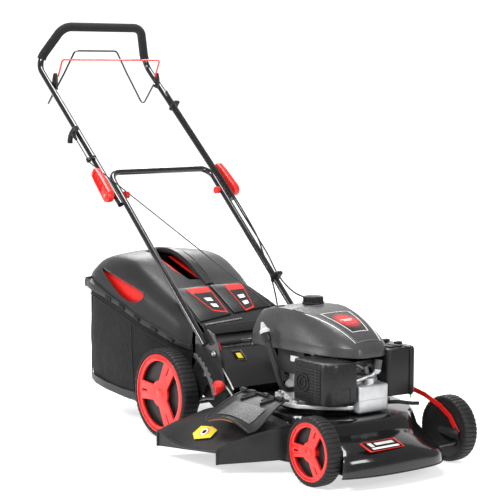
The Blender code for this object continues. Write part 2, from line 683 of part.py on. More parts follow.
def build_handles():
    leg = Vector((LOWER_LEG_X, 0, 0))
    corners = [LEG_FOOT - leg, CROSSBAR - leg, CROSSBAR + leg, LEG_FOOT + leg]
    lower = finish_object("lower_handle", tube(bent(corners, [0.038, 0.038], 5), LOWER_TUBE, 3), "tube_paint")
    bolt_hole = cylinder(FOLD - Vector((0.26, 0, 0)), FOLD + Vector((0.26, 0, 0)), 0.0042, 12)
    cut(lower, bolt_hole)

    start = on_tube(-0.040, UPPER_LEG_X)
    half = bent([start, ELBOW, GRIP_CORNER, mirrored([GRIP_CORNER])[0]], [0.050, 0.045], 5)[:-1]
    path = half + mirrored(half)
    upper = finish_object("upper_handle", tube(path, UPPER_TUBE, 3), "tube_paint", "upper_handle")
    cut(upper, bolt_hole.copy())

    foam_half = [point for point in half if point.z > 1.088]
    foam_path = [*foam_half, *mirrored(foam_half)]
    foam = finish_object("foam_grip", tube(foam_path, FOAM_RADIUS, 3, capped=False), "grip_foam",
                         "upper_handle")
    thicken(foam, FOAM_RADIUS - UPPER_TUBE - 0.0012)


def build_clamps():
    for side, name in ((-1, "right"), (1, "left")):
        middle = Vector((0, FOLD.y, FOLD.z))
        inner, outer = side * 0.1700, side * 0.2385
        bolt = cylinder(middle + Vector((inner, 0, 0)), middle + Vector((outer, 0, 0)), 0.0038, 12)
        bolt = finish_object("clamp_bolt_" + name, bolt, "red_plastic", "upper_handle")
        pad = cylinder(middle + Vector((side * 0.1620, 0, 0)), middle + Vector((side * 0.1745, 0, 0)),
                       0.0110, 16)
        cut(bolt, pad, "UNION")
        near, far = sorted((side * 0.2190, side * 0.2400))
        lever = box((near, -0.0125, -0.0075), (far, 0.0125, 0.0800), 0.0035)
        slot = box((near - 0.01, -0.0048, -0.02), (far + 0.01, 0.0048, 0.0190))
        place = Matrix((( 1, 0, 0, 0), (0, TUBE_UP.y, TUBE_RUN.y, FOLD.y),
                        (0, TUBE_UP.z, TUBE_RUN.z, FOLD.z), (0, 0, 0, 1)))
        lever.transform(place)
        slot.transform(place)
        for mesh in (lever, slot):
            bm = bmesh.new()
            bm.from_mesh(mesh)
            bmesh.ops.recalc_face_normals(bm, faces=bm.faces)
            bm.to_mesh(mesh)
            bm.free()
        lever = finish_object("cam_lever_" + name, lever, "red_plastic", "cam_lever_" + name)
        cut(lever, slot)


BAIL_BAR = Vector((0.0, 1.417, 1.114))


def build_bails():
    for side, name in ((-1, "right"), (1, "left")):
        low, high = sorted((side * 0.1885, side * 0.1945))
        plate_mesh = box((low, 1.333, 0.992), (high, 1.372, 1.046), 0.0015)
        bracket = finish_object("bail_bracket_" + name, plate_mesh, "black_plastic", "upper_handle")
        for pivot, radius in ((BRAKE_PIVOT, 0.0036), (DRIVE_PIVOT, 0.0032)):
            ends = (pivot + Vector((side * 0.17, 0, 0)), pivot + Vector((side * 0.22, 0, 0)))
            cut(bracket, cylinder(*ends, radius, 12))
    half = [Vector((-0.1935, BRAKE_PIVOT.y, BRAKE_PIVOT.z)), Vector((-0.1830, BRAKE_PIVOT.y, BRAKE_PIVOT.z)),
            Vector((-0.1830, 1.419, 0.936)), Vector((-0.1180, 1.417, 1.043)), Vector((-0.0790, 1.416, 1.113))]
    corners = half + mirrored(half)
    path = bent(corners, [0.006, 0.008, 0.03, 0.015, 0.015, 0.03, 0.008, 0.006], 3)
    finish_object("brake_bail", tube(path, 0.0030), "tube_paint", "brake_bail")
    half = [Vector((-0.1935, DRIVE_PIVOT.y, DRIVE_PIVOT.z)), Vector((-0.1835, DRIVE_PIVOT.y, DRIVE_PIVOT.z)),
            Vector((-0.1835, 1.319, 1.084))]
    corners = half + mirrored(half)
    path = bent(corners, [0.006, 0.008, 0.008, 0.006], 3)
    finish_object("drive_bail", tube(path, 0.0027), "red_paint", "drive_bail")


ROPE_X = -0.2275
ROPE_EYE = on_tube(0.155, ROPE_X)
GRIP_CENTRE = on_tube(0.270, ROPE_X - 0.002)


def build_starter():
    eye = cylinder(on_tube(0.150, ROPE_X), on_tube(0.160, ROPE_X), 0.0070, 16)
    eye = finish_object("rope_guide", eye, "black_plastic", "upper_handle")
    foot = [on_tube(0.155, -0.2225, 0.004), on_tube(0.155, -0.2160, 0.0150), on_tube(0.155, -0.2075, 0.0150)]
    cut(eye, tube(foot, 0.0035, 2), "UNION")
    cut(eye, cylinder(on_tube(0.13, ROPE_X), on_tube(0.18, ROPE_X), 0.0034, 12))
    bar = cylinder(GRIP_CENTRE - TUBE_UP * 0.032, GRIP_CENTRE + TUBE_UP * 0.032, 0.0080, 16)
    grip = finish_object("starter_grip", bar, "black_plastic", "starter_grip")
    cut(grip, cylinder(on_tube(0.246, ROPE_X), on_tube(0.268, ROPE_X), 0.0045, 12, 0.0070), "UNION")
    route = [ROPE_SLOT + Vector((-0.004, 0.010, 0.0)), ROPE_EYE - TUBE_RUN * 0.012,
             ROPE_EYE + TUBE_RUN * 0.012, on_tube(0.2455, ROPE_X)]
    finish_object("starter_rope", tube(bent(route, [0.03, 0.2], 3), 0.0018), "cord_black")


# Control cables: the points run down the left leg from the bails.
BRAKE_CABLE = [on_tube(0.440, 0.1960, 0.0170), on_tube(0.380, 0.1965, 0.0160), on_tube(0.200, 0.1970, 0.0150),
               on_tube(0.080, 0.1970, 0.0150), on_tube(0.000, 0.1970, 0.0150),
               Vector((0.1950, 0.880, 0.6120)), Vector((0.1935, 0.760, 0.5060)),
               Vector((0.1790, 0.680, 0.4420)), Vector((0.1725, 0.600, 0.4020)),
               Vector((0.1715, 0.5150, 0.3880)), Vector((0.1620, 0.4550, 0.3780)),
               Vector((0.1360, 0.4150, 0.3420)), Vector((0.1000, 0.3900, 0.2900))]
DRIVE_CABLE = [on_tube(0.440, 0.1960, 0.0245), on_tube(0.380, 0.1965, 0.0225), on_tube(0.200, 0.1970, 0.0212),
               on_tube(0.080, 0.1970, 0.0212), on_tube(0.000, 0.1970, 0.0212),
               Vector((0.1950, 0.8765, 0.6190)), Vector((0.1890, 0.8000, 0.5500)),
               Vector((0.1735, 0.7450, 0.4950)),
               Vector((0.1718, 0.7000, 0.4200)), Vector((0.1712, 0.6720, 0.3400)),
               Vector((0.1660, 0.6550, 0.2600)), Vector((0.1450, 0.6400, 0.1800))]


def build_cables():
    finish_object("brake_cable", tube(smooth(BRAKE_CABLE, 2), 0.0024), "cord_black")
    finish_object("drive_cable", tube(smooth(DRIVE_CABLE, 2), 0.0024), "cord_black")


# ---------------------------------------------------------------- flaps, chute and bag
def build_rear_flap():
    add_rod("flap_rod", FLAP_ROD - Vector((0.166, 0, 0)), FLAP_ROD + Vector((0.166, 0, 0)), 0.0035, "steel")
    curl = arc((FLAP_ROD.y, FLAP_ROD.z), 0.0056, 0, -255, 9)
    line = curl + [(0.5860, 0.3250), (0.6700, 0.3750), (0.7200, 0.4040), (0.7500, 0.4180)]
    flap = plate([strip_outline(line, 0.0028)], 0.330, "YZ", 0.0)
    finish_object("rear_flap", flap, "black_plastic", "rear_flap")


def grid_sheet(rows):
    return loft(rows, closed=False)


def build_side_flap():
    rows = []
    for step in range(6):
        out = step / 5
        x = SIDE_HINGE.x - 0.122 * out
        front = 0.166 - 0.030 * out
        rear = 0.345 + 0.020 * out
        base = SIDE_HINGE.z - 0.0035 - 0.066 * out ** 1.15
        row = []
        for part in range(9):
            share = part / 8
            arch = 0.020 * out * math.sin(math.pi * share)
            row.append((x, front + (rear - front) * share, base + arch))
        rows.append(row)
    flap = finish_object("side_flap", grid_sheet(rows), "black_plastic", "side_flap")
    thicken(flap, 0.0030)


# Each section: distance out, front and rear Y, then bottom, front top, three middle heights, rear top.
CHUTE_SECTIONS = [
    (-0.2420, 0.142, 0.462, 0.040, 0.128, 0.140, 0.142, 0.138, 0.126),
    (-0.2850, 0.172, 0.486, 0.036, 0.114, 0.112, 0.110, 0.108, 0.106),
    (-0.3300, 0.205, 0.503, 0.032, 0.094, 0.084, 0.080, 0.081, 0.090),
    (-0.3720, 0.236, 0.513, 0.028, 0.067, 0.055, 0.049, 0.054, 0.071),
]


def build_chute():
    rows = []
    for x, front, rear, bottom, first, second, third, fourth, last in CHUTE_SECTIONS:
        span = rear - front
        rows.append([(x, front, bottom), (x, front, (bottom + first) / 2), (x, front + 0.002, first - 0.004),
                     (x, front + 0.010, first), (x, front + span * 0.3, second),
                     (x, front + span * 0.55, third), (x, front + span * 0.78, fourth),
                     (x, rear - 0.010, last), (x, rear - 0.002, last - 0.004),
                     (x, rear, (bottom + last) / 2), (x, rear, bottom)])
    chute = finish_object("discharge_chute", grid_sheet(rows), "black_plastic")
    thicken(chute, 0.0026)


# Stations along the bag: Y, half width, seam height, top height, bottom height.
BAG_STATIONS = [
    (BAG_FRONT_Y, 0.150, 0.2600, 0.3480, 0.1720), (0.720, 0.172, 0.2750, 0.3800, 0.1700),
    (0.800, 0.184, 0.3000, 0.4240, 0.1640), (0.862, 0.197, 0.3200, 0.4600, 0.0640),
    (0.950, 0.203, 0.3520, 0.4980, 0.0680), (1.050, 0.203, 0.3770, 0.5020, 0.0800),
    (1.115, 0.199, 0.3890, 0.4880, 0.0900), (1.152, 0.186, 0.3930, 0.4650, 0.0960),
]
BAG_ARCH = [(-1.0, 0.0), (-0.985, 0.30), (-0.93, 0.62), (-0.75, 0.84), (-0.40, 0.97), (0.0, 1.0),
            (0.40, 0.97), (0.75, 0.84), (0.93, 0.62), (0.985, 0.30), (1.0, 0.0)]


def build_bag():
    top_rows = []
    for y, half, seam, top, _ in BAG_STATIONS:
        top_rows.append([(half * across, y, seam + 0.0008 + (top - seam) * up) for across, up in BAG_ARCH])
    bm = bmesh.new()
    bm.from_mesh(grid_sheet(top_rows))
    end = [vert for vert in bm.verts if vert.co.y > BAG_STATIONS[-1][0] - 0.001]
    end.sort(key=lambda vert: vert.co.x)
    bm.faces.new(end)
    top = finish_object("bag_top", mesh_from(bm), "cover_plastic", "grass_bag")
    thicken(top, 0.0030)
    for side in (-1, 1):
        low, high = sorted((side * 0.0130, side * 0.0480))
        cut(top, box((low, 0.8600, 0.3900), (high, 1.0350, 0.5600)))

    rows = []
    for y, half, seam, _, bottom in BAG_STATIONS:
        depth = seam - bottom
        rows.append([(-half, y, seam), (-half + 0.003, y, seam - depth * 0.5),
                     (-half + 0.004, y, bottom + 0.014),
                     (-half + 0.016, y, bottom), (half - 0.016, y, bottom), (half - 0.004, y, bottom + 0.014),
                     (half - 0.003, y, seam - depth * 0.5), (half, y, seam)])
    bm = bmesh.new()
    bm.from_mesh(grid_sheet(rows))
    end = [vert for vert in bm.verts if vert.co.y > BAG_STATIONS[-1][0] - 0.001]
    loop = [vert for vert in end if vert.co.x < 0]
    loop.sort(key=lambda vert: -vert.co.z)
    back = [vert for vert in end if vert.co.x > 0]
    back.sort(key=lambda vert: vert.co.z)
    bm.faces.new(loop + back)
    body = finish_object("bag_body", mesh_from(bm), "bag_fabric", "grass_bag")
    thicken(body, 0.0030)


# ---------------------------------------------------------------- build
LEVER_RIGHT = Vector((-0.2300, FOLD.y, FOLD.z))
PIVOT_PLACES = {
    "front_height": FRONT_PIVOT,
    "rear_height": REAR_PIVOT,
    "height_link": FRONT_PIVOT + LINK_OFFSET,
    "height_lever": Vector((-0.1876, 0.6150, 0.1150)),
    "wheel_front_right": FRONT_AXLE,
    "wheel_front_left": FRONT_AXLE,
    "wheel_rear_right": REAR_AXLE,
    "wheel_rear_left": REAR_AXLE,
    "cutter": Vector((0.0, ENGINE_Y, 0.0)),
    "starter_reel": Vector((0.0, ENGINE_Y, 0.0)),
    "starter_grip": GRIP_CENTRE,
    "gearbox_pulley": GEARBOX_PULLEY,
    "fuel_cap": FUEL_CAP,
    "dipstick_cap": DIP_TOP,
    "air_filter_lid": Vector((0.1378, 0.1175, 0.1830)),
    "upper_handle": FOLD,
    "cam_lever_right": LEVER_RIGHT,
    "cam_lever_left": Vector((-LEVER_RIGHT.x, FOLD.y, FOLD.z)),
    "brake_bail": BRAKE_PIVOT,
    "drive_bail": DRIVE_PIVOT,
    "rear_flap": FLAP_ROD,
    "side_flap": SIDE_HINGE,
    "grass_bag": Vector((0.0, BAG_FRONT_Y, 0.30)),
}
for pivot_name, pivot_place in PIVOT_PLACES.items():
    make_pivot(pivot_name, pivot_place)

build_deck()
build_tunnel()
build_brackets()
build_engine()
build_cover()
build_dipstick()
build_cutter()
build_drive()
build_height()
build_wheels()
build_handles()
build_clamps()
build_bails()
build_starter()
build_cables()
build_rear_flap()
build_side_flap()
build_chute()
build_bag()
bpy.context.view_layer.update()
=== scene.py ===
"""Looks of the petrol push mower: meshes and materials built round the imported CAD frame.

Shapes are written in machine coordinates (X across, with the operator's right at -X, Y towards
the operator from the front axle, Z up from the ground) and moved into the frame by place().
"""
import json
import math

import bmesh
import bpy
from mathutils import Matrix, Vector, noise


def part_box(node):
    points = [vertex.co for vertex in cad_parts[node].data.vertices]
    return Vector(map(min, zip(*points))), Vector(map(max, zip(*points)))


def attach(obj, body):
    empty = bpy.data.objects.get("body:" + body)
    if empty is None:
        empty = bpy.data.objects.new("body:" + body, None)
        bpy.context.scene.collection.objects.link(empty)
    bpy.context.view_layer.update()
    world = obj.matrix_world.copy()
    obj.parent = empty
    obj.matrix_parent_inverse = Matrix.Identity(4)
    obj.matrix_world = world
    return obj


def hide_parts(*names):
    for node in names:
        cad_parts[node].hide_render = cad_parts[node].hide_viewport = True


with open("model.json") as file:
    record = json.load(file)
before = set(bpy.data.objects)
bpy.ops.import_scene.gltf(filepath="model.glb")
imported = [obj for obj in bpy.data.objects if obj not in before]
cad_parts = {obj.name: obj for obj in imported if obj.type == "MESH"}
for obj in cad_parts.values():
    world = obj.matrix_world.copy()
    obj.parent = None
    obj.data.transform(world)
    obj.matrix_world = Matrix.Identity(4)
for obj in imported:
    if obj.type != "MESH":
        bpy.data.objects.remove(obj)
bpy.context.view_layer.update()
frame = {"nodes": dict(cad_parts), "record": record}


def box_centre(node):
    low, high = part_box(node)
    return (low + high) / 2


MID_X = box_centre("crankshaft").x
FRONT_Y = box_centre("rim_front_left").y
OFFSET = Vector((MID_X, FRONT_Y, 0.0))


def local(node):
    """A CAD node's lowest and highest corner in machine coordinates."""
    low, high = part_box(node)
    return low - OFFSET, high - OFFSET


# ---------------------------------------------------------------- materials
def link_noise(tree, coords, scale, detail=3.0, roughness=0.55):
    texture = tree.nodes.new("ShaderNodeTexNoise")
    texture.inputs["Scale"].default_value = scale
    texture.inputs["Detail"].default_value = detail
    texture.inputs["Roughness"].default_value = roughness
    tree.links.new(coords, texture.inputs["Vector"])
    return texture.outputs["Fac"]


def link_ramp(tree, value, low, high):
    """Maps a 0..1 value to a low..high range."""
    ramp = tree.nodes.new("ShaderNodeMapRange")
    ramp.inputs["From Min"].default_value = 0.3
    ramp.inputs["From Max"].default_value = 0.7
    ramp.inputs["To Min"].default_value = low
    ramp.inputs["To Max"].default_value = high
    tree.links.new(value, ramp.inputs["Value"])
    return ramp.outputs["Result"]


def link_mix(tree, factor, first, second):
    mix = tree.nodes.new("ShaderNodeMix")
    mix.data_type = "RGBA"
    for socket, value in (("A", first), ("B", second)):
        target = next(s for s in mix.inputs if s.name == socket and s.type == "RGBA")
        if isinstance(value, tuple):
            target.default_value = (*value, 1.0)
        else:
            tree.links.new(value, target)
    tree.links.new(factor, mix.inputs["Factor"])
    return next(s for s in mix.outputs if s.type == "RGBA")


def scaled(color, factor):
    return tuple(min(channel * factor, 1.0) for channel in color)


def finish(name, color, roughness, metallic=0.0, coat=0.0, grain=0.0, grain_depth=0.0, mottle=18.0,
           spread=0.12, rough_spread=0.06, sheen=0.0, wear=0.0, specular=0.5):
    """A Principled material with mottled colour, uneven gloss, surface grain and edge wear.

    grain and mottle are noise scales per metre; grain_depth is in metres.
    """
    material = bpy.data.materials.new(name)
    material.use_nodes = True
    tree = material.node_tree
    shader = tree.nodes["Principled BSDF"]
    coords = tree.nodes.new("ShaderNodeTexCoord").outputs["Object"]
    broad = link_noise(tree, coords, mottle)
    shade = link_mix(tree, link_ramp(tree, broad, 0.0, 1.0), scaled(color, 1 - spread),
                     scaled(color, 1 + spread))
    if wear:
        geometry = tree.nodes.new("ShaderNodeNewGeometry")
        edge = tree.nodes.new("ShaderNodeMapRange")
        edge.inputs["From Min"].default_value = 0.52
        edge.inputs["From Max"].default_value = 0.62
        edge.inputs["To Max"].default_value = wear
        tree.links.new(geometry.outputs["Pointiness"], edge.inputs["Value"])
        lighter = tuple(channel + (1 - channel) * 0.35 for channel in color)
        shade = link_mix(tree, edge.outputs["Result"], shade, lighter)
    tree.links.new(shade, shader.inputs["Base Color"])
    fine = link_noise(tree, coords, mottle * 7)
    tree.links.new(link_ramp(tree, fine, max(roughness - rough_spread, 0.02), roughness + rough_spread),
                   shader.inputs["Roughness"])
    shader.inputs["Metallic"].default_value = metallic
    shader.inputs["Specular IOR Level"].default_value = specular
    shader.inputs["Coat Weight"].default_value = coat
    shader.inputs["Coat Roughness"].default_value = 0.08
    shader.inputs["Sheen Weight"].default_value = sheen
    if grain:
        bump = tree.nodes.new("ShaderNodeBump")
        bump.inputs["Strength"].default_value = 1.0
        bump.inputs["Distance"].default_value = grain_depth
        tree.links.new(link_noise(tree, coords, grain, 4.0), bump.inputs["Height"])
        tree.links.new(bump.outputs["Normal"], shader.inputs["Normal"])
    return material


def weave(name, color, roughness, pitch, depth):
    """Woven cloth: two crossed sets of threads of one pitch, with soft unevenness."""
    material = finish(name, color, roughness, sheen=0.06, mottle=9.0, spread=0.22, specular=0.2)
    tree = material.node_tree
    shader = tree.nodes["Principled BSDF"]
    coords = next(n for n in tree.nodes if n.type == "TEX_COORD").outputs["Object"]
    height = None
    for direction in ("X", "Y", "Z"):
        wave = tree.nodes.new("ShaderNodeTexWave")
        wave.bands_direction = direction
        wave.inputs["Scale"].default_value = 0.314 / pitch
        wave.inputs["Distortion"].default_value = 0.6
        tree.links.new(coords, wave.inputs["Vector"])
        if height is None:
            height = wave.outputs["Fac"]
            continue
        total = tree.nodes.new("ShaderNodeMath")
        total.operation = "ADD"
        tree.links.new(height, total.inputs[0])
        tree.links.new(wave.outputs["Fac"], total.inputs[1])
        height = total.outputs["Value"]
    bump = tree.nodes.new("ShaderNodeBump")
    bump.inputs["Distance"].default_value = depth
    tree.links.new(height, bump.inputs["Height"])
    tree.links.new(bump.outputs["Normal"], shader.inputs["Normal"])
    return material


def glow(name, inner, outer, centre, radius):
    """A print whose colour fades from one point outwards."""
    material = finish(name, inner, 0.3)
    tree = material.node_tree
    shader = tree.nodes["Principled BSDF"]
    coords = next(n for n in tree.nodes if n.type == "TEX_COORD").outputs["Object"]
    away = tree.nodes.new("ShaderNodeVectorMath")
    away.operation = "DISTANCE"
    away.inputs[1].default_value = centre
    tree.links.new(coords, away.inputs[0])
    fade = tree.nodes.new("ShaderNodeMapRange")
    fade.inputs["From Min"].default_value = radius * 0.35
    fade.inputs["From Max"].default_value = radius
    tree.links.new(away.outputs["Value"], fade.inputs["Value"])
    tree.links.new(link_mix(tree, fade.outputs["Result"], inner, outer), shader.inputs["Base Color"])
    return material


MATERIALS = {
    "deck_paint": finish("deck_paint", (0.0055, 0.0055, 0.006), 0.15, coat=0.45, grain=900,
                         grain_depth=0.00003,
                         wear=0.08, specular=0.28),
    "tube_paint": finish("tube_paint", (0.009, 0.009, 0.0095), 0.13, coat=0.7, grain=1400,
                         grain_depth=0.00002,
                         specular=0.45),
    "black_plastic": finish("black_plastic", (0.0095, 0.0095, 0.0098), 0.36, grain=2400, grain_depth=0.00006,
                            wear=0.05, specular=0.26),
    "cover_plastic": finish("cover_plastic", (0.048, 0.048, 0.05), 0.32, grain=2600, grain_depth=0.00004,
                             specular=0.32),
    "bag_lid_plastic": finish("bag_lid_plastic", (0.021, 0.021, 0.022), 0.38, grain=1800, grain_depth=0.00012,
                              wear=0.05, specular=0.26),
    "guard_paint": finish("guard_paint", (0.016, 0.016, 0.0165), 0.3, grain=1600, grain_depth=0.00003,
                          specular=0.26),
    "red_plastic": finish("red_plastic", (0.72, 0.014, 0.009), 0.32, coat=0.15, spread=0.02, grain=2200,
                          grain_depth=0.00002),
    "red_paint": finish("red_paint", (0.66, 0.014, 0.01), 0.28, coat=0.3, spread=0.03),
    "alloy": finish("alloy", (0.62, 0.63, 0.64), 0.42, metallic=0.85, grain=1300, grain_depth=0.0001,
                    wear=0.3),
    "steel": finish("steel", (0.56, 0.57, 0.58), 0.28, metallic=1.0, mottle=60, grain=2200,
                    grain_depth=0.00003),
    "dark_steel": finish("dark_steel", (0.1, 0.1, 0.105), 0.38, metallic=0.8, grain=1500,
                         grain_depth=0.00006),
    "tyre_rubber": finish("tyre_rubber", (0.013, 0.013, 0.0135), 0.55, grain=1800, grain_depth=0.0001,
                          spread=0.25, specular=0.28),
    "grip_foam": finish("grip_foam", (0.014, 0.014, 0.0145), 0.85, grain=1100, grain_depth=0.0005, sheen=0.08,
                        specular=0.2),
    "cord_black": finish("cord_black", (0.01, 0.01, 0.01), 0.45, specular=0.25),
    "bag_fabric": weave("bag_fabric", (0.0085, 0.0085, 0.0095), 0.8, 0.0016, 0.0003),
    "label_red": finish("label_red", (0.7, 0.016, 0.012), 0.34, spread=0.05),
    "label_white": finish("label_white", (0.74, 0.74, 0.74), 0.36, spread=0.04),
    # A near-black used both as dark print (deck badge, data plate, chute sticker) and as painted shade in
    # slots, grille openings, recesses and notches.
    "dark_print_and_shade": finish("dark_print_and_shade", (0.005, 0.005, 0.0055), 0.45, spread=0.15, specular=0.2),
    "label_yellow": finish("label_yellow", (0.85, 0.62, 0.03), 0.36, spread=0.05),
    "rust_orange": finish("rust_orange", (0.42, 0.1, 0.02), 0.45),
    # Pale plastic on the dipstick cap and badge bars; on the bag's clips and along the duct's edges this pale
    # colour is a painted highlight.
    "pale_plastic_and_highlight": finish("pale_plastic_and_highlight", (0.55, 0.55, 0.53), 0.4),
    "badge_glow": glow("badge_glow", (0.7, 0.012, 0.012), (0.012, 0.005, 0.005),
                       Vector((0.0, 0.156, 0.386)) + OFFSET, 0.043),
    "grey_plastic": finish("grey_plastic", (0.22, 0.22, 0.225), 0.4, grain=1800, grain_depth=0.00008),
    "flap_plastic": finish("flap_plastic", (0.016, 0.016, 0.0165), 0.36, grain=2000, grain_depth=0.0001,
                           specular=0.26),
    "label_print": finish("label_print", (0.075, 0.075, 0.075), 0.42, mottle=230, spread=0.9),
    "pad_plastic": finish("pad_plastic", (0.05, 0.05, 0.052), 0.45, grain=2600, grain_depth=0.00008,
                          specular=0.25),
}

# ---------------------------------------------------------------- modelling helpers
def place(piece, body, replaces):
    """Move a piece from machine coordinates into the frame and hang it from a body."""
    piece.data.transform(Matrix.Translation(OFFSET))
    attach(piece, body)
    if replaces:
        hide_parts(*replaces)
    return piece


def smooth_mesh(mesh, angle=35.0):
    mesh.shade_smooth()
    mesh.set_sharp_from_angle(angle=math.radians(angle))


def add(name, mesh, material, body, replaces=(), angle=35.0):
    """A piece in machine coordinates, with its material and body, and the CAD nodes it replaces."""
    mesh.name = name
    smooth_mesh(mesh, angle)
    mesh.materials.clear()
    mesh.materials.append(MATERIALS[material])
    piece = bpy.data.objects.new(name, mesh)
    bpy.context.scene.collection.objects.link(piece)
    return place(piece, body, replaces)


def to_mesh(bm, recalc=True):
    if recalc:
        bmesh.ops.recalc_face_normals(bm, faces=bm.faces)
    mesh = bpy.data.meshes.new("shape")
    bm.to_mesh(mesh)
    bm.free()
    return mesh


def joined(meshes):
    """One mesh from several, which may overlap."""
    bm = bmesh.new()
    for mesh in meshes:
        bm.from_mesh(mesh)
        bpy.data.meshes.remove(mesh)
    return to_mesh(bm, recalc=False)


def turned(mesh, matrix):
    mesh.transform(matrix)
    if matrix.determinant() < 0:
        mesh.flip_normals()
    return mesh


def box(low, high, bevel=0.0, segments=2):
    low, high = Vector(low), Vector(high)
    bm = bmesh.new()
    bmesh.ops.create_cube(bm, size=1.0)
    bmesh.ops.scale(bm, vec=high - low, verts=bm.verts)
    bmesh.ops.translate(bm, vec=(low + high) / 2, verts=bm.verts)
    if bevel:
        bmesh.ops.bevel(bm, geom=bm.edges, offset=bevel, segments=segments, profile=0.5, affect="EDGES")
    return to_mesh(bm)


def rotate_to(direction):
    return Vector(direction).to_track_quat("Z", "Y").to_matrix().to_4x4()


def lathe(profile, place_at, axis=(0, 0, 1), steps=48):
    """A turned solid: (radius, height) points from the axis round to the axis."""
    bm = bmesh.new()
    rings = []
    for radius, height in profile:
        if radius < 1e-6:
            rings.append([bm.verts.new((0.0, 0.0, height))])
            continue
        rings.append([bm.verts.new((radius * math.cos(math.tau * s / steps),
                                    radius * math.sin(math.tau * s / steps), height))
                      for s in range(steps)])
    for lower, upper in zip(rings, rings[1:]):
        for s in range(steps):
            after = (s + 1) % steps
            corners = [lower[s % len(lower)], lower[after % len(lower)], upper[after % len(upper)],
                       upper[s % len(upper)]]
            unique = list(dict.fromkeys(corners))
            if len(unique) > 2:
                bm.faces.new(unique)
    mesh = to_mesh(bm)
    mesh.transform(Matrix.Translation(Vector(place_at)) @ rotate_to(axis))
    return mesh


def disc(radius, height, place_at, axis=(0, 0, 1), steps=48):
    """A plain round plate."""
    return lathe([(0.0, 0.0), (radius, 0.0), (radius, height), (0.0, height)], place_at, axis, steps)


def rod(start, end, radius, sides=20, chamfer=0.0006):
    """A round bar with small chamfers at its ends."""
    start, end = Vector(start), Vector(end)
    length = (end - start).length
    profile = [(0.0, 0.0), (radius - chamfer, 0.0), (radius, chamfer), (radius, length - chamfer),
               (radius - chamfer, length), (0.0, length)]
    return lathe(profile, start, end - start, sides)


def loft(rings, closed=True, ends=None):
    """A skin over rings of equal length; ends says whether the first and last ring are filled."""
    bm = bmesh.new()
    rows = [[bm.verts.new(point) for point in ring] for ring in rings]
    count = len(rows[0])
    for lower, upper in zip(rows, rows[1:]):
        for index in range(count if closed else count - 1):
            after = (index + 1) % count
            bm.faces.new((lower[index], lower[after], upper[after], upper[index]))
    for row, filled in zip((rows[0], rows[-1]), ends or (closed, closed)):
        if filled:
            bm.faces.new(row)
    return to_mesh(bm)


def tube(points, radius, sides=8, capped=True):
    """A round bar along points; sides is half the number of facets."""
    curve = bpy.data.curves.new("tube", "CURVE")
    curve.dimensions = "3D"
    spline = curve.splines.new("POLY")
    spline.points.add(len(points) - 1)
    for slot, point in zip(spline.points, points):
        slot.co = (*point, 1.0)
    curve.bevel_depth = radius
    curve.bevel_resolution = max(sides - 2, 1)
    curve.use_fill_caps = capped
    return curve_mesh(curve)


def curve_mesh(curve, matrix=None):
    holder = bpy.data.objects.new("holder", curve)
    bpy.context.scene.collection.objects.link(holder)
    bpy.context.view_layer.update()
    graph = bpy.context.evaluated_depsgraph_get()
    mesh = bpy.data.meshes.new_from_object(holder.evaluated_get(graph))
    bpy.data.objects.remove(holder, do_unlink=True)
    bm = bmesh.new()
    bm.from_mesh(mesh)
    bmesh.ops.remove_doubles(bm, verts=bm.verts, dist=0.00002)
    bm.to_mesh(mesh)
    bm.free()
    if matrix is not None:
        mesh.transform(matrix)
    return mesh


def plate(outlines, thickness, matrix=None, bevel=0.0):
    """A flat outline in X and Y, with any holes as further outlines, with rounded edges."""
    curve = bpy.data.curves.new("plate", "CURVE")
    curve.dimensions = "2D"
    curve.fill_mode = "BOTH"
    curve.extrude = thickness / 2 - bevel
    curve.bevel_depth = bevel
    curve.offset = -bevel
    curve.bevel_resolution = 1
    for outline in outlines:
        spline = curve.splines.new("POLY")
        spline.points.add(len(outline) - 1)
        for slot, point in zip(spline.points, outline):
            slot.co = (point[0], point[1], 0.0, 1.0)
        spline.use_cyclic_u = True
    return curve_mesh(curve, matrix)


# A plate drawn as (Y, Z) that stands at one X.
STANDING = Matrix(((0, 0, 1, 0), (1, 0, 0, 0), (0, 1, 0, 0), (0, 0, 0, 1)))


def standing(x):
    return Matrix.Translation((x, 0.0, 0.0)) @ STANDING


def arc(centre, radius, start, end, steps):
    angles = [math.radians(start + (end - start) * step / steps) for step in range(steps + 1)]
    return [(centre[0] + radius * math.cos(a), centre[1] + radius * math.sin(a)) for a in angles]


def circle(centre, radius, sides=32):
    return arc(centre, radius, 0.0, 360.0 * (sides - 1) / sides, sides - 1)


def bent(corners, radii, steps=10):
    """A path through corners, each inner corner rounded to its own radius."""
    corners = [Vector(corner) for corner in corners]
    path = [corners[0]]
    for before, corner, after, radius in zip(corners, corners[1:], corners[2:], radii):
        inward = (before - corner).normalized()
        outward = (after - corner).normalized()
        half = inward.angle(outward) / 2
        if half > math.radians(88):
            path.append(corner)
            continue
        reach = radius / math.tan(half)
        centre = corner + (inward + outward).normalized() * (radius / math.sin(half))
        first = corner + inward * reach - centre
        last = corner + outward * reach - centre
        sweep = first.angle(last)
        for step in range(steps + 1):
            share = step / steps
            blended = first * math.sin((1 - share) * sweep) + last * math.sin(share * sweep)
            path.append(centre + blended / math.sin(sweep))
    path.append(corners[-1])
    return path


def smooth(points, steps=8):
    """Points on a Catmull-Rom curve through the given points."""
    points = [Vector(point) for point in points]
    padded = [points[0] * 2 - points[1], *points, points[-1] * 2 - points[-2]]
    path = []
    for a, b, c, d in zip(padded, padded[1:], padded[2:], padded[3:]):
        for step in range(steps):
            t = step / steps
            path.append(0.5 * (2 * b + (c - a) * t + (2 * a - 5 * b + 4 * c - d) * t * t
                               + (3 * b - a - 3 * c + d) * t ** 3))
    path.append(points[-1])
    return path


def mirrored(points):
    return [Vector((-point.x, point.y, point.z)) for point in reversed(points)]


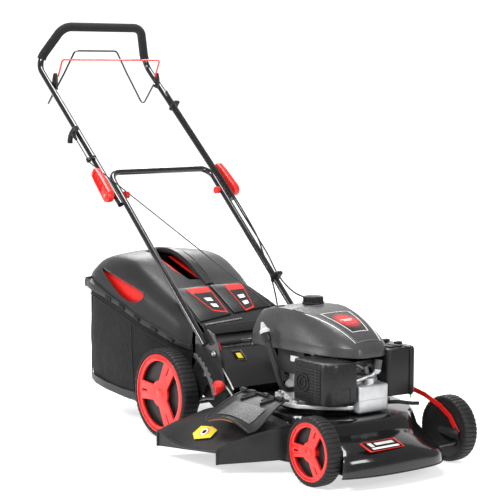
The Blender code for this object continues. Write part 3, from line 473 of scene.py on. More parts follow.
def solidified(mesh, thickness, offset=-1.0, bevel=0.0, levels=0):
    """A shell from an open sheet, with its edges rounded and its surface refined."""
    holder = bpy.data.objects.new("holder", mesh)
    bpy.context.scene.collection.objects.link(holder)
    if levels:
        surface = holder.modifiers.new("surface", "SUBSURF")
        surface.levels = levels
        surface.render_levels = levels
        surface.boundary_smooth = "PRESERVE_CORNERS"
    shell = holder.modifiers.new("shell", "SOLIDIFY")
    shell.thickness = thickness
    shell.offset = offset
    shell.use_even_offset = True
    if bevel:
        rounding = holder.modifiers.new("rounding", "BEVEL")
        rounding.width = bevel
        rounding.segments = 2
        rounding.limit_method = "ANGLE"
        rounding.angle_limit = math.radians(50)
    return applied(holder)


def applied(holder):
    bpy.context.view_layer.update()
    graph = bpy.context.evaluated_depsgraph_get()
    mesh = bpy.data.meshes.new_from_object(holder.evaluated_get(graph))
    bpy.data.objects.remove(holder, do_unlink=True)
    return mesh


def combined(mesh, other, operation="DIFFERENCE"):
    """A Boolean of two closed meshes."""
    holder = bpy.data.objects.new("holder", mesh)
    tool = bpy.data.objects.new("tool", other)
    for item in (holder, tool):
        bpy.context.scene.collection.objects.link(item)
    boolean = holder.modifiers.new("cut", "BOOLEAN")
    boolean.object = tool
    boolean.operation = operation
    boolean.solver = "EXACT"
    result = applied(holder)
    bpy.data.objects.remove(tool, do_unlink=True)
    return result


def rounded(mesh, width, segments=2, angle=30.0):
    """The mesh with its sharp edges rounded."""
    holder = bpy.data.objects.new("holder", mesh)
    bpy.context.scene.collection.objects.link(holder)
    rounding = holder.modifiers.new("rounding", "BEVEL")
    rounding.width = width
    rounding.segments = segments
    rounding.limit_method = "ANGLE"
    rounding.angle_limit = math.radians(angle)
    rounding.harden_normals = False
    return applied(holder)


def bolt(at, axis, radius, height=0.005, washer=True):
    """A hexagon head on a washer, at a point on a surface."""
    profile = [(0.0, 0.0), (radius, 0.0), (radius, height * 0.8), (radius * 0.86, height), (0.0, height)]
    meshes = [lathe(profile, at, axis, 6)]
    if washer:
        flat = [(0.0, 0.0), (radius * 1.35, 0.0), (radius * 1.35, 0.0012), (0.0, 0.0012)]
        meshes.append(lathe(flat, at, axis, 24))
    return meshes


# ---------------------------------------------------------------- wheels
def tread(radius, width, outer, lugs):
    """A tyre section turned about the axle, with shallow bars right across the tread."""
    inner = outer - width
    wall = radius - radius * 0.115
    base = radius - 0.0024
    section = [(wall, outer - 0.003), (wall + 0.003, outer - 0.0004), (base - 0.008, outer - 0.0004),
               (base - 0.003, outer - 0.0022), (base, outer - 0.007), (base, inner + 0.007),
               (base - 0.003, inner + 0.0022), (base - 0.008, inner + 0.0004),
               (wall + 0.003, inner + 0.0004), (wall, inner + 0.003)]
    meshes = [ring_mesh(section, 96)]
    half_pitch = math.pi / lugs
    for index in range(lugs):
        rings = []
        for share, drop in ((-0.84, 0.0008), (-0.62, 0.0), (0.62, 0.0), (0.84, 0.0008)):
            top = radius - drop
            profile = [(radius - 0.013, outer - drop * 0.5), (radius - 0.006, outer - drop * 0.5),
                       (top - 0.0016, outer - 0.003), (top, outer - 0.009), (top, inner + 0.009),
                       (top - 0.0016, inner + 0.003), (radius - 0.006, inner + drop * 0.5),
                       (radius - 0.013, inner + drop * 0.5), (radius - 0.014, inner + 0.008),
                       (radius - 0.014, outer - 0.008)]
            angle = half_pitch * (2 * index + share)
            rings.append([(r * math.cos(angle), r * math.sin(angle), z) for r, z in profile])
        meshes.append(loft(rings))
    return joined(meshes)


def ring_mesh(section, steps):
    """A closed section turned about the Z axis."""
    rings = [[(radius * math.cos(math.tau * s / steps), radius * math.sin(math.tau * s / steps), height)
              for radius, height in section] for s in range(steps)]
    bm = bmesh.new()
    rows = [[bm.verts.new(point) for point in ring] for ring in rings]
    for index, row in enumerate(rows):
        after = rows[(index + 1) % steps]
        for corner in range(len(section)):
            following = (corner + 1) % len(section)
            bm.faces.new((row[corner], row[following], after[following], after[corner]))
    return to_mesh(bm)


def rim_face(radius):
    """Outlines of a rim's face: the disc, three windows between its spokes, and three slits."""
    outlines = [circle((0, 0), radius - 0.004, 72)]
    for third in range(3):
        window = 120.0 * third + 60.0
        outline = arc((0, 0), radius * 0.83, window - 43, window + 43, 12)
        outline += arc((0, 0), radius * 0.34, window + 24, window - 24, 6)
        outlines.append(outline)
        spoke = math.radians(120.0 * third)
        slit = [(radius * 0.56, -0.0016), (radius * 0.8, -0.0022), (radius * 0.8, 0.0022),
                (radius * 0.56, 0.0016)]
        outlines.append([(x * math.cos(spoke) - y * math.sin(spoke),
                          x * math.sin(spoke) + y * math.cos(spoke)) for x, y in slit])
    return outlines


def rim_pieces(radius, width, outer, hub):
    """The red part of a wheel: a rim ring, a face with three broad spokes, and a hub."""
    inner = outer - width
    face = outer - 0.0035
    ring = ring_mesh([(radius, inner + 0.004), (radius, outer - 0.0012), (radius - 0.0015, outer - 0.0003),
                      (radius - 0.005, outer - 0.0003), (radius - 0.0065, face - 0.001),
                      (radius - 0.0065, face - 0.01), (radius - 0.005, inner + 0.004)], 96)
    meshes = [ring, plate(rim_face(radius), 0.007, Matrix.Translation((0, 0, face - 0.003)), 0.0014)]
    dome = [(0.0, face + 0.002), (hub * 0.5, face + 0.0018), (hub * 0.58, face + 0.0008),
            (hub * 0.6, face - 0.0004), (hub * 0.9, face + 0.0002), (hub, face - 0.002),
            (hub, inner + 0.01), (0.009, inner + 0.01), (0.009, inner + 0.012), (0.0, inner + 0.012)]
    meshes.append(lathe(dome, (0, 0, 0), (0, 0, 1), 64))
    return joined(meshes)


def build_wheel(name, body, side, turn):
    """Replace one wheel's CAD nodes: tyre with lugs, spoked rim, black backing disc, hub ring."""
    low, high = local("tyre_" + name)
    rim_low, rim_high = local("rim_" + name)
    radius = (high.z - low.z) / 2
    rim_radius = (rim_high.z - rim_low.z) / 2 - 0.0008
    width = high.x - low.x
    outer = high.x if side > 0 else -low.x
    centre = Vector((0.0, (low.y + high.y) / 2, (low.z + high.z) / 2))
    facing = Matrix(((0, 0, side, 0), (1, 0, 0, 0), (0, side, 0, 0), (0, 0, 0, 1)))
    where = Matrix.Translation(centre) @ facing @ Matrix.Rotation(math.radians(turn), 4, "Z")
    lugs = 44 if radius < 0.1 else 58
    add("wheel_tyre_" + name, turned(tread(radius, width, outer, lugs), where), "tyre_rubber", body,
        replaces=["tyre_" + name], angle=40)
    hub = 0.0235 if radius < 0.1 else 0.029
    add("wheel_rim_" + name, turned(rim_pieces(rim_radius, width, outer, hub), where), "red_plastic", body,
        replaces=["rim_" + name], angle=40)
    depth = outer - width
    backing = [(0.011, outer - 0.019), (rim_radius * 0.5, outer - 0.0165),
               (rim_radius - 0.006, outer - 0.0185), (rim_radius - 0.005, depth + 0.007),
               (rim_radius - 0.011, depth + 0.008), (rim_radius - 0.012, outer - 0.0215),
               (0.011, outer - 0.0225)]
    dark = ring_mesh(backing, 64)
    add("wheel_disc_" + name, turned(dark, where), "black_plastic", body)
    cover = [(0.0068, depth + 0.005), (rim_radius * 0.6, depth + 0.002),
             (rim_radius - 0.0004, depth + 0.0024), (rim_radius - 0.0004, depth + 0.0038),
             (0.0068, depth + 0.0075)]
    add("wheel_back_" + name, turned(ring_mesh(cover, 64), where), "black_plastic", body)


# ---------------------------------------------------------------- stage
CAMERA_AT = Vector((-2.8827, -3.2143, 1.065))
CAMERA_PITCH, CAMERA_ROLL, CAMERA_TURN = 6.296, 0.18, -37.16        # degrees
CAMERA_LENS, CAMERA_SENSOR = 119.8, 36.0                            # millimetres
LAMP_TARGET = Vector((0, 0, 0.35))


def stage_and_camera():
    depth, back, height = 6.0, 5.0, 6.0
    line = [(-depth, 0.0), (back - 2.0, 0.0)] + arc((back - 2.0, 2.0), 2.0, -90, 0, 16)[1:] + [(back, height)]
    turn = Matrix.Rotation(math.radians(CAMERA_TURN), 4, "Z")
    sweep = loft([[(x, y, z) for x in (-9.0, 9.0)] for y, z in line], closed=False)
    sweep.transform(turn)
    smooth_mesh(sweep, 60)
    floor = bpy.data.objects.new("floor", sweep)
    bpy.context.scene.collection.objects.link(floor)
    paint = finish("floor_paint", (0.6, 0.6, 0.6), 0.8, spread=0.01, specular=0.1)
    paint.node_tree.nodes["Principled BSDF"].inputs["Emission Color"].default_value = (1.0, 1.0, 1.0, 1.0)
    paint.node_tree.nodes["Principled BSDF"].inputs["Emission Strength"].default_value = 0.62
    floor.data.materials.append(paint)

    camera = bpy.data.cameras.new("camera")
    camera.lens = CAMERA_LENS
    camera.sensor_width = CAMERA_SENSOR
    camera.clip_end = 60.0
    eye = bpy.data.objects.new("camera", camera)
    eye.location = CAMERA_AT + OFFSET
    eye.rotation_euler = (math.radians(90 - CAMERA_PITCH), math.radians(-CAMERA_ROLL),
                          math.radians(CAMERA_TURN))
    bpy.context.scene.collection.objects.link(eye)
    bpy.context.scene.camera = eye

    world = bpy.data.worlds.new("studio")
    world.use_nodes = True
    world.node_tree.nodes["Background"].inputs["Color"].default_value = (1.0, 1.0, 1.0, 1.0)
    world.node_tree.nodes["Background"].inputs["Strength"].default_value = 0.35
    bpy.context.scene.world = world
    bpy.context.scene.view_settings.view_transform = "Standard"
    lights = [
        ("key", (-2.4, -1.6, 2.7), 0.9, 95.0), ("front", (0.3, -3.2, 1.5), 0.8, 34.0),
        ("top", (0.2, 0.4, 3.2), 1.3, 80.0), ("back", (1.7, 2.8, 2.4), 1.4, 55.0),
        ("left", (-3.0, 1.2, 1.3), 0.7, 26.0),
    ]
    for name, where, size, power in lights:
        lamp = bpy.data.lights.new(name, "AREA")
        lamp.size = size
        lamp.energy = power
        holder = bpy.data.objects.new("light_" + name, lamp)
        holder.location = where
        holder.rotation_euler = (LAMP_TARGET - Vector(where)).to_track_quat("-Z", "Y").to_euler()
        bpy.context.scene.collection.objects.link(holder)


# ---------------------------------------------------------------- handle
FOLD = Vector((0.0, 0.9795, 0.681))
ELBOW = Vector((0.205, 1.44, 1.0732))
GRIP_CORNER = Vector((0.146, 1.374, 1.188))
UPPER_LEG_X = 0.207
ROPE_X = -0.2275
TUBE_RUN = (ELBOW - Vector((ELBOW.x, FOLD.y, FOLD.z))).normalized()
TUBE_UP = Vector((0.0, -TUBE_RUN.z, TUBE_RUN.y))
ALONG_TUBE = Matrix(((1, 0, 0, 0), (0, TUBE_UP.y, TUBE_RUN.y, FOLD.y), (0, TUBE_UP.z, TUBE_RUN.z, FOLD.z),
                     (0, 0, 0, 1)))


def on_tube(along, x, up=0.0):
    return Vector((x, FOLD.y, FOLD.z)) + TUBE_RUN * along + TUBE_UP * up


def build_handle():
    leg = Vector((0.186, 0, 0))
    foot, bar = Vector((0, 0.5485, 0.2865)), Vector((0, 1.0488, 0.7444))
    corners = [foot - leg, bar - leg, bar + leg, foot + leg]
    add("handle_lower_tube", tube(bent(corners, [0.038, 0.038], 12), 0.0095, 10), "tube_paint", "chassis",
        replaces=["lower_handle"])
    start = on_tube(-0.04, UPPER_LEG_X)
    half = bent([start, ELBOW, GRIP_CORNER, mirrored([GRIP_CORNER])[0]], [0.05, 0.045], 12)[:-1]
    add("handle_upper_tube", tube(half + mirrored(half), 0.01, 10), "tube_paint", "upper_frame",
        replaces=["upper_handle"])
    foam_half = [point for point in half if point.z > 1.082]
    foam = tube([*foam_half, *mirrored(foam_half)], 0.0142, 12)
    add("handle_foam", rounded(foam, 0.002, 2, 60), "grip_foam", "upper_frame", replaces=["foam_grip"])


# ---------------------------------------------------------------- deck
# The deck's rim at the ground, at the top of its lip, at the shelf and round the raised top.
LIP = [(-0.231, -0.108), (-0.16, -0.13), (-0.08, -0.139), (0.01, -0.138), (0.08, -0.128), (0.118, -0.1),
       (0.15, -0.052), (0.172, 0.000), (0.19, 0.06), (0.214, 0.12), (0.233, 0.19), (0.238, 0.27),
       (0.233, 0.36), (0.212, 0.445), (0.17, 0.51), (0.09, 0.545), (0.000, 0.552), (-0.09, 0.545),
       (-0.17, 0.51), (-0.212, 0.445), (-0.233, 0.36), (-0.238, 0.27), (-0.233, 0.19), (-0.222, 0.125),
       (-0.204, 0.098), (-0.202, 0.04), (-0.202, -0.04), (-0.206, -0.095)]
BLADE_Y = 0.25


def deck_level(inset, shift, height, droop):
    """One level of the deck: pulled in, its front moved back, and its far front corner lowered."""
    ring = []
    for x, y in LIP:
        toward = Vector((-x, BLADE_Y - y)).normalized() * inset
        front = min(max((0.14 - y) / 0.24, 0.0), 1.0)
        far = min(max(x / 0.13, 0.0), 1.0)
        low = droop * front * far
        near_corner = 0.7 if x < -0.21 and y < 0.0 else 0.0
        ring.append((x + toward.x + near_corner * min(shift, 0.03),
                     y + toward.y * (1 - front) + shift * front ** 1.5, height - low))
    return smooth_ring(ring, 5)


def smooth_ring(points, steps):
    """A closed Catmull-Rom curve."""
    points = [Vector(point) for point in points]
    count = len(points)
    path = []
    for index in range(count):
        a, b, c, d = (points[(index + k) % count] for k in (-1, 0, 1, 2))
        for step in range(steps):
            t = step / steps
            path.append(0.5 * (2 * b + (c - a) * t + (2 * a - 5 * b + 4 * c - d) * t * t
                               + (3 * b - a - 3 * c + d) * t ** 3))
    return path


def build_deck():
    """A pressed steel deck: flared lip, front shelf, and raised top under the engine."""
    levels = [(0.000, 0.002, 0.038, 0.000), (0.001, 0.002, 0.044, 0.000), (0.004, 0.003, 0.07, 0.008),
              (0.007, 0.009, 0.086, 0.018), (0.01, 0.016, 0.093, 0.024), (0.014, 0.03, 0.101, 0.03),
              (0.017, 0.056, 0.113, 0.03), (0.02, 0.084, 0.12, 0.026), (0.022, 0.1, 0.125, 0.02),
              (0.026, 0.112, 0.14, 0.01), (0.03, 0.118, 0.148, 0.004), (0.036, 0.126, 0.152, 0.000),
              (0.06, 0.15, 0.1525, 0.000)]
    rings = [deck_level(*level) for level in levels]
    shell = solidified(loft(rings, ends=(False, True)), 0.0022)
    shell = combined(shell, box((-0.156, 0.44, 0.04), (0.04, 0.62, 0.2)))
    shell = combined(shell, box((0.047, 0.42, 0.144), (0.17, 0.62, 0.161)))
    shell = combined(shell, box((-0.27, 0.15, 0.048), (-0.19, 0.43, 0.135)))
    add("deck_pressing", shell, "deck_paint", "chassis", replaces=["deck_shell"], angle=28)

    # The raised ring that the engine is bolted to, with its rolled edge.
    raised = [(0.0, 0.1645), (0.14, 0.1645), (0.148, 0.163), (0.153, 0.159), (0.158, 0.1535),
              (0.166, 0.1525), (0.166, 0.1515), (0.0, 0.1515)]
    add("deck_engine_ring", lathe(raised, (-0.004, 0.222, 0.0), (0, 0, 1), 96), "deck_paint", "chassis")

    # A bead rolled along the lip's foot.
    bead = [point + Vector((0, 0, -0.0002)) for point in rings[0]]
    bead.append(bead[0])
    add("deck_bead", tube(bead, 0.0022, 5), "deck_paint", "chassis")
    build_badge()


def upward(first, second):
    """The unit normal of two directions that points up."""
    normal = first.cross(second).normalized()
    return -normal if normal.z < 0 else normal


def slanted_plate(corners, thickness):
    """A flat panel on four or more corners, its edges slightly rounded."""
    corners = [Vector(corner) for corner in corners]
    half = upward(corners[1] - corners[0], corners[-1] - corners[0]) * thickness * 0.5
    rings = [[corner - half for corner in corners], [corner + half for corner in corners]]
    return rounded(loft(rings), thickness * 0.25, 2)


def build_badge():
    """A plain red-framed parallelogram plate on the shelf."""
    frame_corners = [(-0.153, -0.1215, 0.0985), (-0.036, -0.1195, 0.0985), (-0.055, -0.0985, 0.1195),
                     (-0.172, -0.1005, 0.1195)]
    add("badge_frame", slanted_plate(frame_corners, 0.0022), "label_red", "chassis")
    inner = shrunk(frame_corners, 0.003, 0.0012)
    add("badge_face", slanted_plate(inner, 0.0016), "dark_print_and_shade", "chassis")
    lift = Vector((0, -0.0012, 0.0012))
    a, b, c, d = (Vector(corner) for corner in inner)
    for index, (left, right, low, high) in enumerate([(0.1, 0.22, 0.4, 0.86), (0.3, 0.88, 0.52, 0.8),
                                                      (0.08, 0.92, 0.1, 0.3)]):
        corners = [a.lerp(b, left).lerp(d.lerp(c, left), low), a.lerp(b, right).lerp(d.lerp(c, right), low),
                   a.lerp(b, right).lerp(d.lerp(c, right), high),
                   a.lerp(b, left).lerp(d.lerp(c, left), high)]
        add("badge_bar_%d" % index, slanted_plate([corner + lift for corner in corners], 0.0008),
            "label_white" if index == 2 else "pale_plastic_and_highlight", "chassis")


def shrunk(corners, margin, lift):
    """A panel's corners moved in by a margin and up by a lift."""
    points = [Vector(corner) for corner in corners]
    centre = sum(points, Vector()) / len(points)
    normal = upward(points[1] - points[0], points[-1] - points[0])
    return [centre + (point - centre) * (1 - margin * 1.8 / (point - centre).length) + normal * lift
            for point in points]


# ---------------------------------------------------------------- engine cover
# Along the cover: Y, half width at its skirt, and height of its top.
COVER_STATIONS = [
    (0.047, 0.018, 0.314), (0.0485, 0.03, 0.321), (0.053, 0.043, 0.329), (0.06, 0.054, 0.337),
    (0.072, 0.066, 0.3465), (0.09, 0.079, 0.358), (0.115, 0.09, 0.371), (0.15, 0.099, 0.385),
    (0.2, 0.107, 0.399), (0.255, 0.1125, 0.408), (0.31, 0.1165, 0.4115), (0.36, 0.118, 0.4095),
    (0.4, 0.1165, 0.402), (0.425, 0.111, 0.391), (0.44, 0.101, 0.378), (0.449, 0.086, 0.362),
    (0.453, 0.064, 0.344),
]
SKIRT = 0.326


def pad_half(y):
    """Half the width of the flat top panel."""
    return min(max(0.042 + (y - 0.066) * 0.216, 0.0), 0.084)


def cover_station(y):
    """The skirt's half width and the top height at one distance along the cover."""
    rows = DENSE_STATIONS
    y = min(max(y, rows[0].x), rows[-1].x)
    for first, second in zip(rows, rows[1:]):
        if y <= second.x:
            share = (y - first.x) / max(second.x - first.x, 1e-6)
            return first.y + (second.y - first.y) * share, first.z + (second.z - first.z) * share
    return rows[-1].y, rows[-1].z


def cover_height(x, y):
    """The engine cover's height over a point of its plan."""
    half, top = cover_station(y)
    pad = min(pad_half(y), half * 0.72)
    skirt = min(SKIRT, top - 0.004)
    crown = 0.0035
    if abs(x) <= pad:
        return top - crown * (x / max(pad, 1e-6)) ** 2
    share = max((half - abs(x)) / (half - pad), 0.0)
    rise = 0.38 * share + 0.62 * (1 - (1 - share) ** 2.4)
    return skirt + (top - crown - skirt) * rise


def cover_section(y):
    half, top = cover_station(y)
    pad = min(pad_half(y), half * 0.72)
    skirt = min(SKIRT, top - 0.004)
    side = [(half - 0.0005, 0.3015), (half + 0.0012, 0.303), (half + 0.0012, 0.3055), (half, 0.307),
            (half, skirt)]
    for step in range(1, 9):
        x = half - (half - pad) * (step / 9) ** 1.25
        side.append((x, cover_height(x, y)))
    flat = [(pad * (1 - step / 3), cover_height(pad * (1 - step / 3), y)) for step in range(3)]
    right = side + flat
    return ([(-x, y, z) for x, z in right] + [(0.0, y, cover_height(0.0, y))]
            + [(x, y, z) for x, z in reversed(right)])


def patch(outline_left, outline_right, steps, lift, height=cover_height):
    """A sheet that follows the cover between two edges, each a list of (x, y)."""
    rows = []
    for left, right in zip(outline_left, outline_right):
        row = []
        for step in range(steps + 1):
            point = Vector(left).lerp(Vector(right), step / steps)
            row.append((point.x, point.y, height(point.x, point.y) + lift))
        rows.append(row)
    return loft(rows, closed=False)


def pad_edges(front, rear, half_front, half_rear, bow, steps=16):
    """The two long edges of a panel that narrows along the cover, bowed outwards."""
    left, right = [], []
    for step in range(steps + 1):
        share = step / steps
        y = front + (rear - front) * share
        half = half_front + (half_rear - half_front) * share + bow * math.sin(math.pi * share)
        left.append((-half, y))
        right.append((half, y))
    return left, right


def border(left, right, lift):
    """A closed line just over the cover round a panel."""
    line = left + right[::-1]
    dense = []
    for first, second in zip(line, line[1:] + line[:1]):
        for step in range(4):
            point = Vector(first).lerp(Vector(second), step / 4)
            dense.append(Vector((point.x, point.y, cover_height(point.x, point.y) + lift)))
    return dense + dense[:1]


def panel_edges(front, rear, margin, steps=16):
    """The two long edges of a panel that lies on the cover's flat top."""
    stations = [front + (rear - front) * step / steps for step in range(steps + 1)]
    return ([(-(pad_half(y) - margin), y) for y in stations], [(pad_half(y) - margin, y) for y in stations])


DENSE_STATIONS = smooth([Vector(station) for station in COVER_STATIONS], 3)


def build_cover():
    rows = [cover_section(station.x) for station in DENSE_STATIONS]
    shell = solidified(loft(rows, closed=False, ends=(True, True)), 0.0024)
    slot = Vector((-0.062, 0.367, 0.38))
    hole = lathe([(0.0, -0.04), (0.0135, -0.04), (0.0135, 0.04), (0.0, 0.04)], slot, (0.1, 0.1, 1), 32)
    shell = combined(shell, turned(hole, Matrix.Translation(slot) @ Matrix.Diagonal((1.25, 0.85, 1, 1))
                                   @ Matrix.Translation(-slot)))
    add("cover_shell", shell, "cover_plastic", "chassis", replaces=["engine_cover"], angle=40)
    # Painted shade: a near-black disc under the slot's hole and a near-black sheet laid over it stand for the
    # shade inside the slot.
    dark = disc(0.026, 0.001, slot + Vector((0, 0, -0.012)), (0, 0, 1), 24)
    add("cover_slot_hole_shade", dark, "dark_print_and_shade", "chassis")
    left = [(-0.064 - 0.013 * math.sin(math.pi * k / 10), 0.348 + 0.0028 * k) for k in range(11)]
    right = [(-0.064 + 0.013 * math.sin(math.pi * k / 10), y) for k, (_, y) in enumerate(left)]
    add("cover_slot_shade", solidified(patch(left, right, 4, 0.0026), 0.001), "dark_print_and_shade", "chassis")

    left, right = panel_edges(0.0672, 0.288, 0.003)
    add("cover_pad", solidified(patch(left, right, 16, 0.0014), 0.003), "pad_plastic", "chassis")
    add("cover_pad_edge", tube(border(left, right, 0.0016), 0.0007, 3), "grey_plastic", "chassis")
    for side, name in ((-1, "right"), (1, "left")):
        inner = [(side * (pad_half(y) + 0.0004), y) for _, y in left[:13]]
        wide = 0.0006 if side < 0 else 0.0046
        outer = [(x + side * (0.0012 + wide * math.sin(math.pi * (index + 0.5) / 13)), y)
                 for index, (x, y) in enumerate(inner)]
        trim = solidified(patch(inner, outer, 3, 0.0012), 0.001)
        add("cover_trim_" + name, trim, "label_white", "chassis")
    left, right = pad_edges(0.099, 0.207, 0.027, 0.0485, 0.002)
    add("cover_badge_edge", tube(border(left, right, 0.0026), 0.001, 3), "label_white", "chassis")
    add("cover_badge_glow", solidified(patch(left, right, 10, 0.0022), 0.001), "badge_glow", "chassis")
    bars = []
    for y, half in ((0.156, 0.02), (0.15, 0.013)):
        bars.append(solidified(patch([(-half, y), (-half, y + 0.0028)], [(half, y), (half, y + 0.0028)], 4,
                                     0.0026), 0.0006))
    add("cover_badge_bars", joined(bars), "label_white", "chassis")


# ---------------------------------------------------------------- engine
def rounded_plan(low, high, radii, steps=8):
    """A rectangle's outline with its own radius at each corner, from the low X, low Y one round."""
    corners = [(low[0], low[1]), (high[0], low[1]), (high[0], high[1]), (low[0], high[1])]
    outline = []
    for (x, y), radius, start in zip(corners, radii, (180, 270, 0, 90)):
        centre = (x + radius * (1 if x == low[0] else -1), y + radius * (1 if y == low[1] else -1))
        outline += arc(centre, radius, start, start + 90, steps)
    return outline


def tall_plate(outline, bottom, top, bevel):
    return plate([outline], top - bottom, Matrix.Translation((0, 0, (bottom + top) / 2)), bevel)


def build_guard():
    """The muffler guard: a pressed box with a grille on its outer face and slots in its top."""
    plan = rounded_plan((-0.16, 0.034), (-0.064, 0.19), (0.034, 0.006, 0.006, 0.016))
    add("guard_shell", tall_plate(plan, 0.184, 0.298, 0.0095), "guard_paint", "chassis",
        replaces=["muffler_guard", "muffler"], angle=40)
    # Painted shade: a near-black panel under the ribs stands for the shade in the grille's openings.
    panel = plate([[(0.072, 0.198), (0.17, 0.198), (0.174, 0.202), (0.174, 0.277), (0.17, 0.28),
                    (0.072, 0.28), (0.069, 0.277), (0.069, 0.202)]], 0.0014, standing(-0.1602))
    add("guard_grille_shade", panel, "dark_print_and_shade", "chassis")
    ribs = []
    for row in range(10):
        z = 0.201 + row * 0.0082
        ribs.append(box((-0.162, 0.071, z), (-0.1604, 0.088, z + 0.0034), 0.0005, 1))
        rear = 0.116 if abs(z - 0.239) < 0.026 else 0.17
        ribs.append(box((-0.162, 0.093, z), (-0.1604, rear, z + 0.0034), 0.0005, 1))
    ribs.append(box((-0.1618, 0.088, 0.198), (-0.1604, 0.093, 0.28), 0.0005, 1))
    ribs.append(box((-0.1618, 0.102, 0.198), (-0.1604, 0.1045, 0.28), 0.0005, 1))
    add("guard_grille", joined(ribs), "guard_paint", "chassis")
    for radius, name in ((0.0245, "outer"), (0.0135, "inner")):
        ring = ring_mesh([(radius - 0.003, -0.0006), (radius - 0.0026, 0.0028), (radius, 0.0034),
                          (radius + 0.0014, 0.0022), (radius + 0.0016, -0.0006)], 48)
        ring.transform(Matrix.Translation((-0.1604, 0.143, 0.239)) @ rotate_to((-1, 0, 0)))
        add("guard_ring_" + name, ring, "guard_paint", "chassis")
    # Painted shade: the near-black strips in the top stand for the shade inside its slots.
    slots = [box((-0.156, 0.08, 0.2934), (-0.1515, 0.118, 0.2962), 0.001),
             box((-0.156, 0.123, 0.2934), (-0.1515, 0.142, 0.2962), 0.001),
             box((-0.156, 0.146, 0.2934), (-0.1515, 0.166, 0.2962), 0.001),
             box((-0.118, 0.0334, 0.229), (-0.09, 0.0344, 0.2304)),
             box((-0.09, 0.0334, 0.19), (-0.0884, 0.0344, 0.2304))]
    add("guard_slots", joined(slots), "dark_print_and_shade", "chassis")


def build_head():
    low, high = Vector((-0.056, 0.036, 0.156)), Vector((0.047, 0.15, 0.23))
    lid = box(low, (high.x, 0.072, high.z), 0.006, 4)
    rear = box((low.x + 0.004, 0.0735, low.z + 0.002), (high.x - 0.004, high.y, high.z + 0.01), 0.005, 3)
    fins = [box((low.x - 0.002, 0.085 + k * 0.0105, low.z + 0.004),
                (high.x + 0.002, 0.0885 + k * 0.0105, high.z + 0.016), 0.0012, 1) for k in range(6)]
    seam = box((low.x - 0.0012, 0.0722, low.z + 0.001), (high.x + 0.0012, 0.0733, high.z + 0.001), 0.0004, 1)
    lug = lathe([(0.0, 0.0), (0.013, 0.0), (0.013, 0.02), (0.011, 0.024), (0.007, 0.024), (0.007, 0.02),
                 (0.0, 0.02)], (0.000, 0.062, high.z - 0.008), (0, -0.15, 1), 32)
    arm = tube(smooth([(-0.044, 0.07, 0.238), (-0.01, 0.066, 0.246), (0.014, 0.064, 0.252),
                       (0.024, 0.062, 0.266)], 6), 0.006, 8)
    ear = lathe([(0.0, -0.005), (0.011, -0.005), (0.0115, 0.0), (0.011, 0.005), (0.0, 0.005)],
                (0.026, 0.061, 0.264), (0, 1, 0.2), 28)
    rib = box((low.x - 0.0008, 0.0352, 0.1905), (high.x + 0.0008, 0.038, 0.1925), 0.0006, 1)
    add("head_casting", joined([lid, rear, seam, lug, arm, ear, rib, *fins]), "alloy", "chassis",
        replaces=["cylinder_head"], angle=40)
    dark = [box((-0.04, 0.08, 0.262), (0.03, 0.14, 0.29), 0.006, 2),
            tube(smooth([(-0.048, 0.06, 0.285), (-0.03, 0.052, 0.276), (-0.006, 0.055, 0.282),
                         (0.018, 0.062, 0.268)], 6), 0.005, 6),
            disc(0.012, 0.026, (0.016, 0.05, 0.268), (0.2, 0, 1), 24),
            disc(0.008, 0.02, (-0.02, 0.05, 0.262), (-0.3, 0, 1), 24)]
    add("carburettor_body", joined(dark), "dark_steel", "chassis", replaces=["carburetor"])


def build_flange():
    outline = [(-0.15, 0.14), (-0.171, 0.17), (-0.17, 0.215), (-0.15, 0.265), (-0.112, 0.32),
               (-0.05, 0.352), (0.05, 0.352), (0.105, 0.31), (0.128, 0.24), (0.125, 0.15), (0.085, 0.07),
               (0.02, 0.052), (-0.07, 0.062), (-0.12, 0.1)]
    flange = tall_plate([tuple(point.xy) for point in smooth_ring([(x, y, 0) for x, y in outline], 4)],
                        0.1652, 0.176, 0.002)
    pads = [lathe([(0.0, 0.0), (0.0135, 0.0), (0.0125, 0.009), (0.0, 0.009)], at, (0, 0, 1), 28)
            for at in ((-0.155, 0.185, 0.174), (-0.122, 0.29, 0.174), (-0.11, 0.112, 0.174),
                       (0.09, 0.1, 0.174))]
    crank = lathe([(0.0, 0.176), (0.1, 0.176), (0.098, 0.2), (0.086, 0.212), (0.086, 0.286), (0.0, 0.286)],
                  (0.0, 0.262, 0.0), (0, 0, 1), 48)
    barrel = box((-0.044, 0.14, 0.176), (0.044, 0.22, 0.258), 0.004, 1)
    add("block_casting", joined([flange, crank, barrel, *pads]), "alloy", "chassis",
        replaces=["engine_block"], angle=40)
    heads = []
    for at in ((-0.155, 0.185, 0.1832), (-0.122, 0.29, 0.1832), (-0.11, 0.112, 0.1832), (0.09, 0.1, 0.1832)):
        heads += bolt(at, (0, 0, 1), 0.0056, 0.006)
    add("block_bolts", joined(heads), "steel", "chassis")
    skirt = box((-0.098, 0.215, 0.235), (-0.09, 0.33, 0.301), 0.004, 2)
    add("block_side_shroud", skirt, "black_plastic", "chassis")
    tag = box((-0.0998, 0.23, 0.27), (-0.098, 0.272, 0.286), 0.0008, 1)
    add("block_tag", tag, "label_white", "chassis")


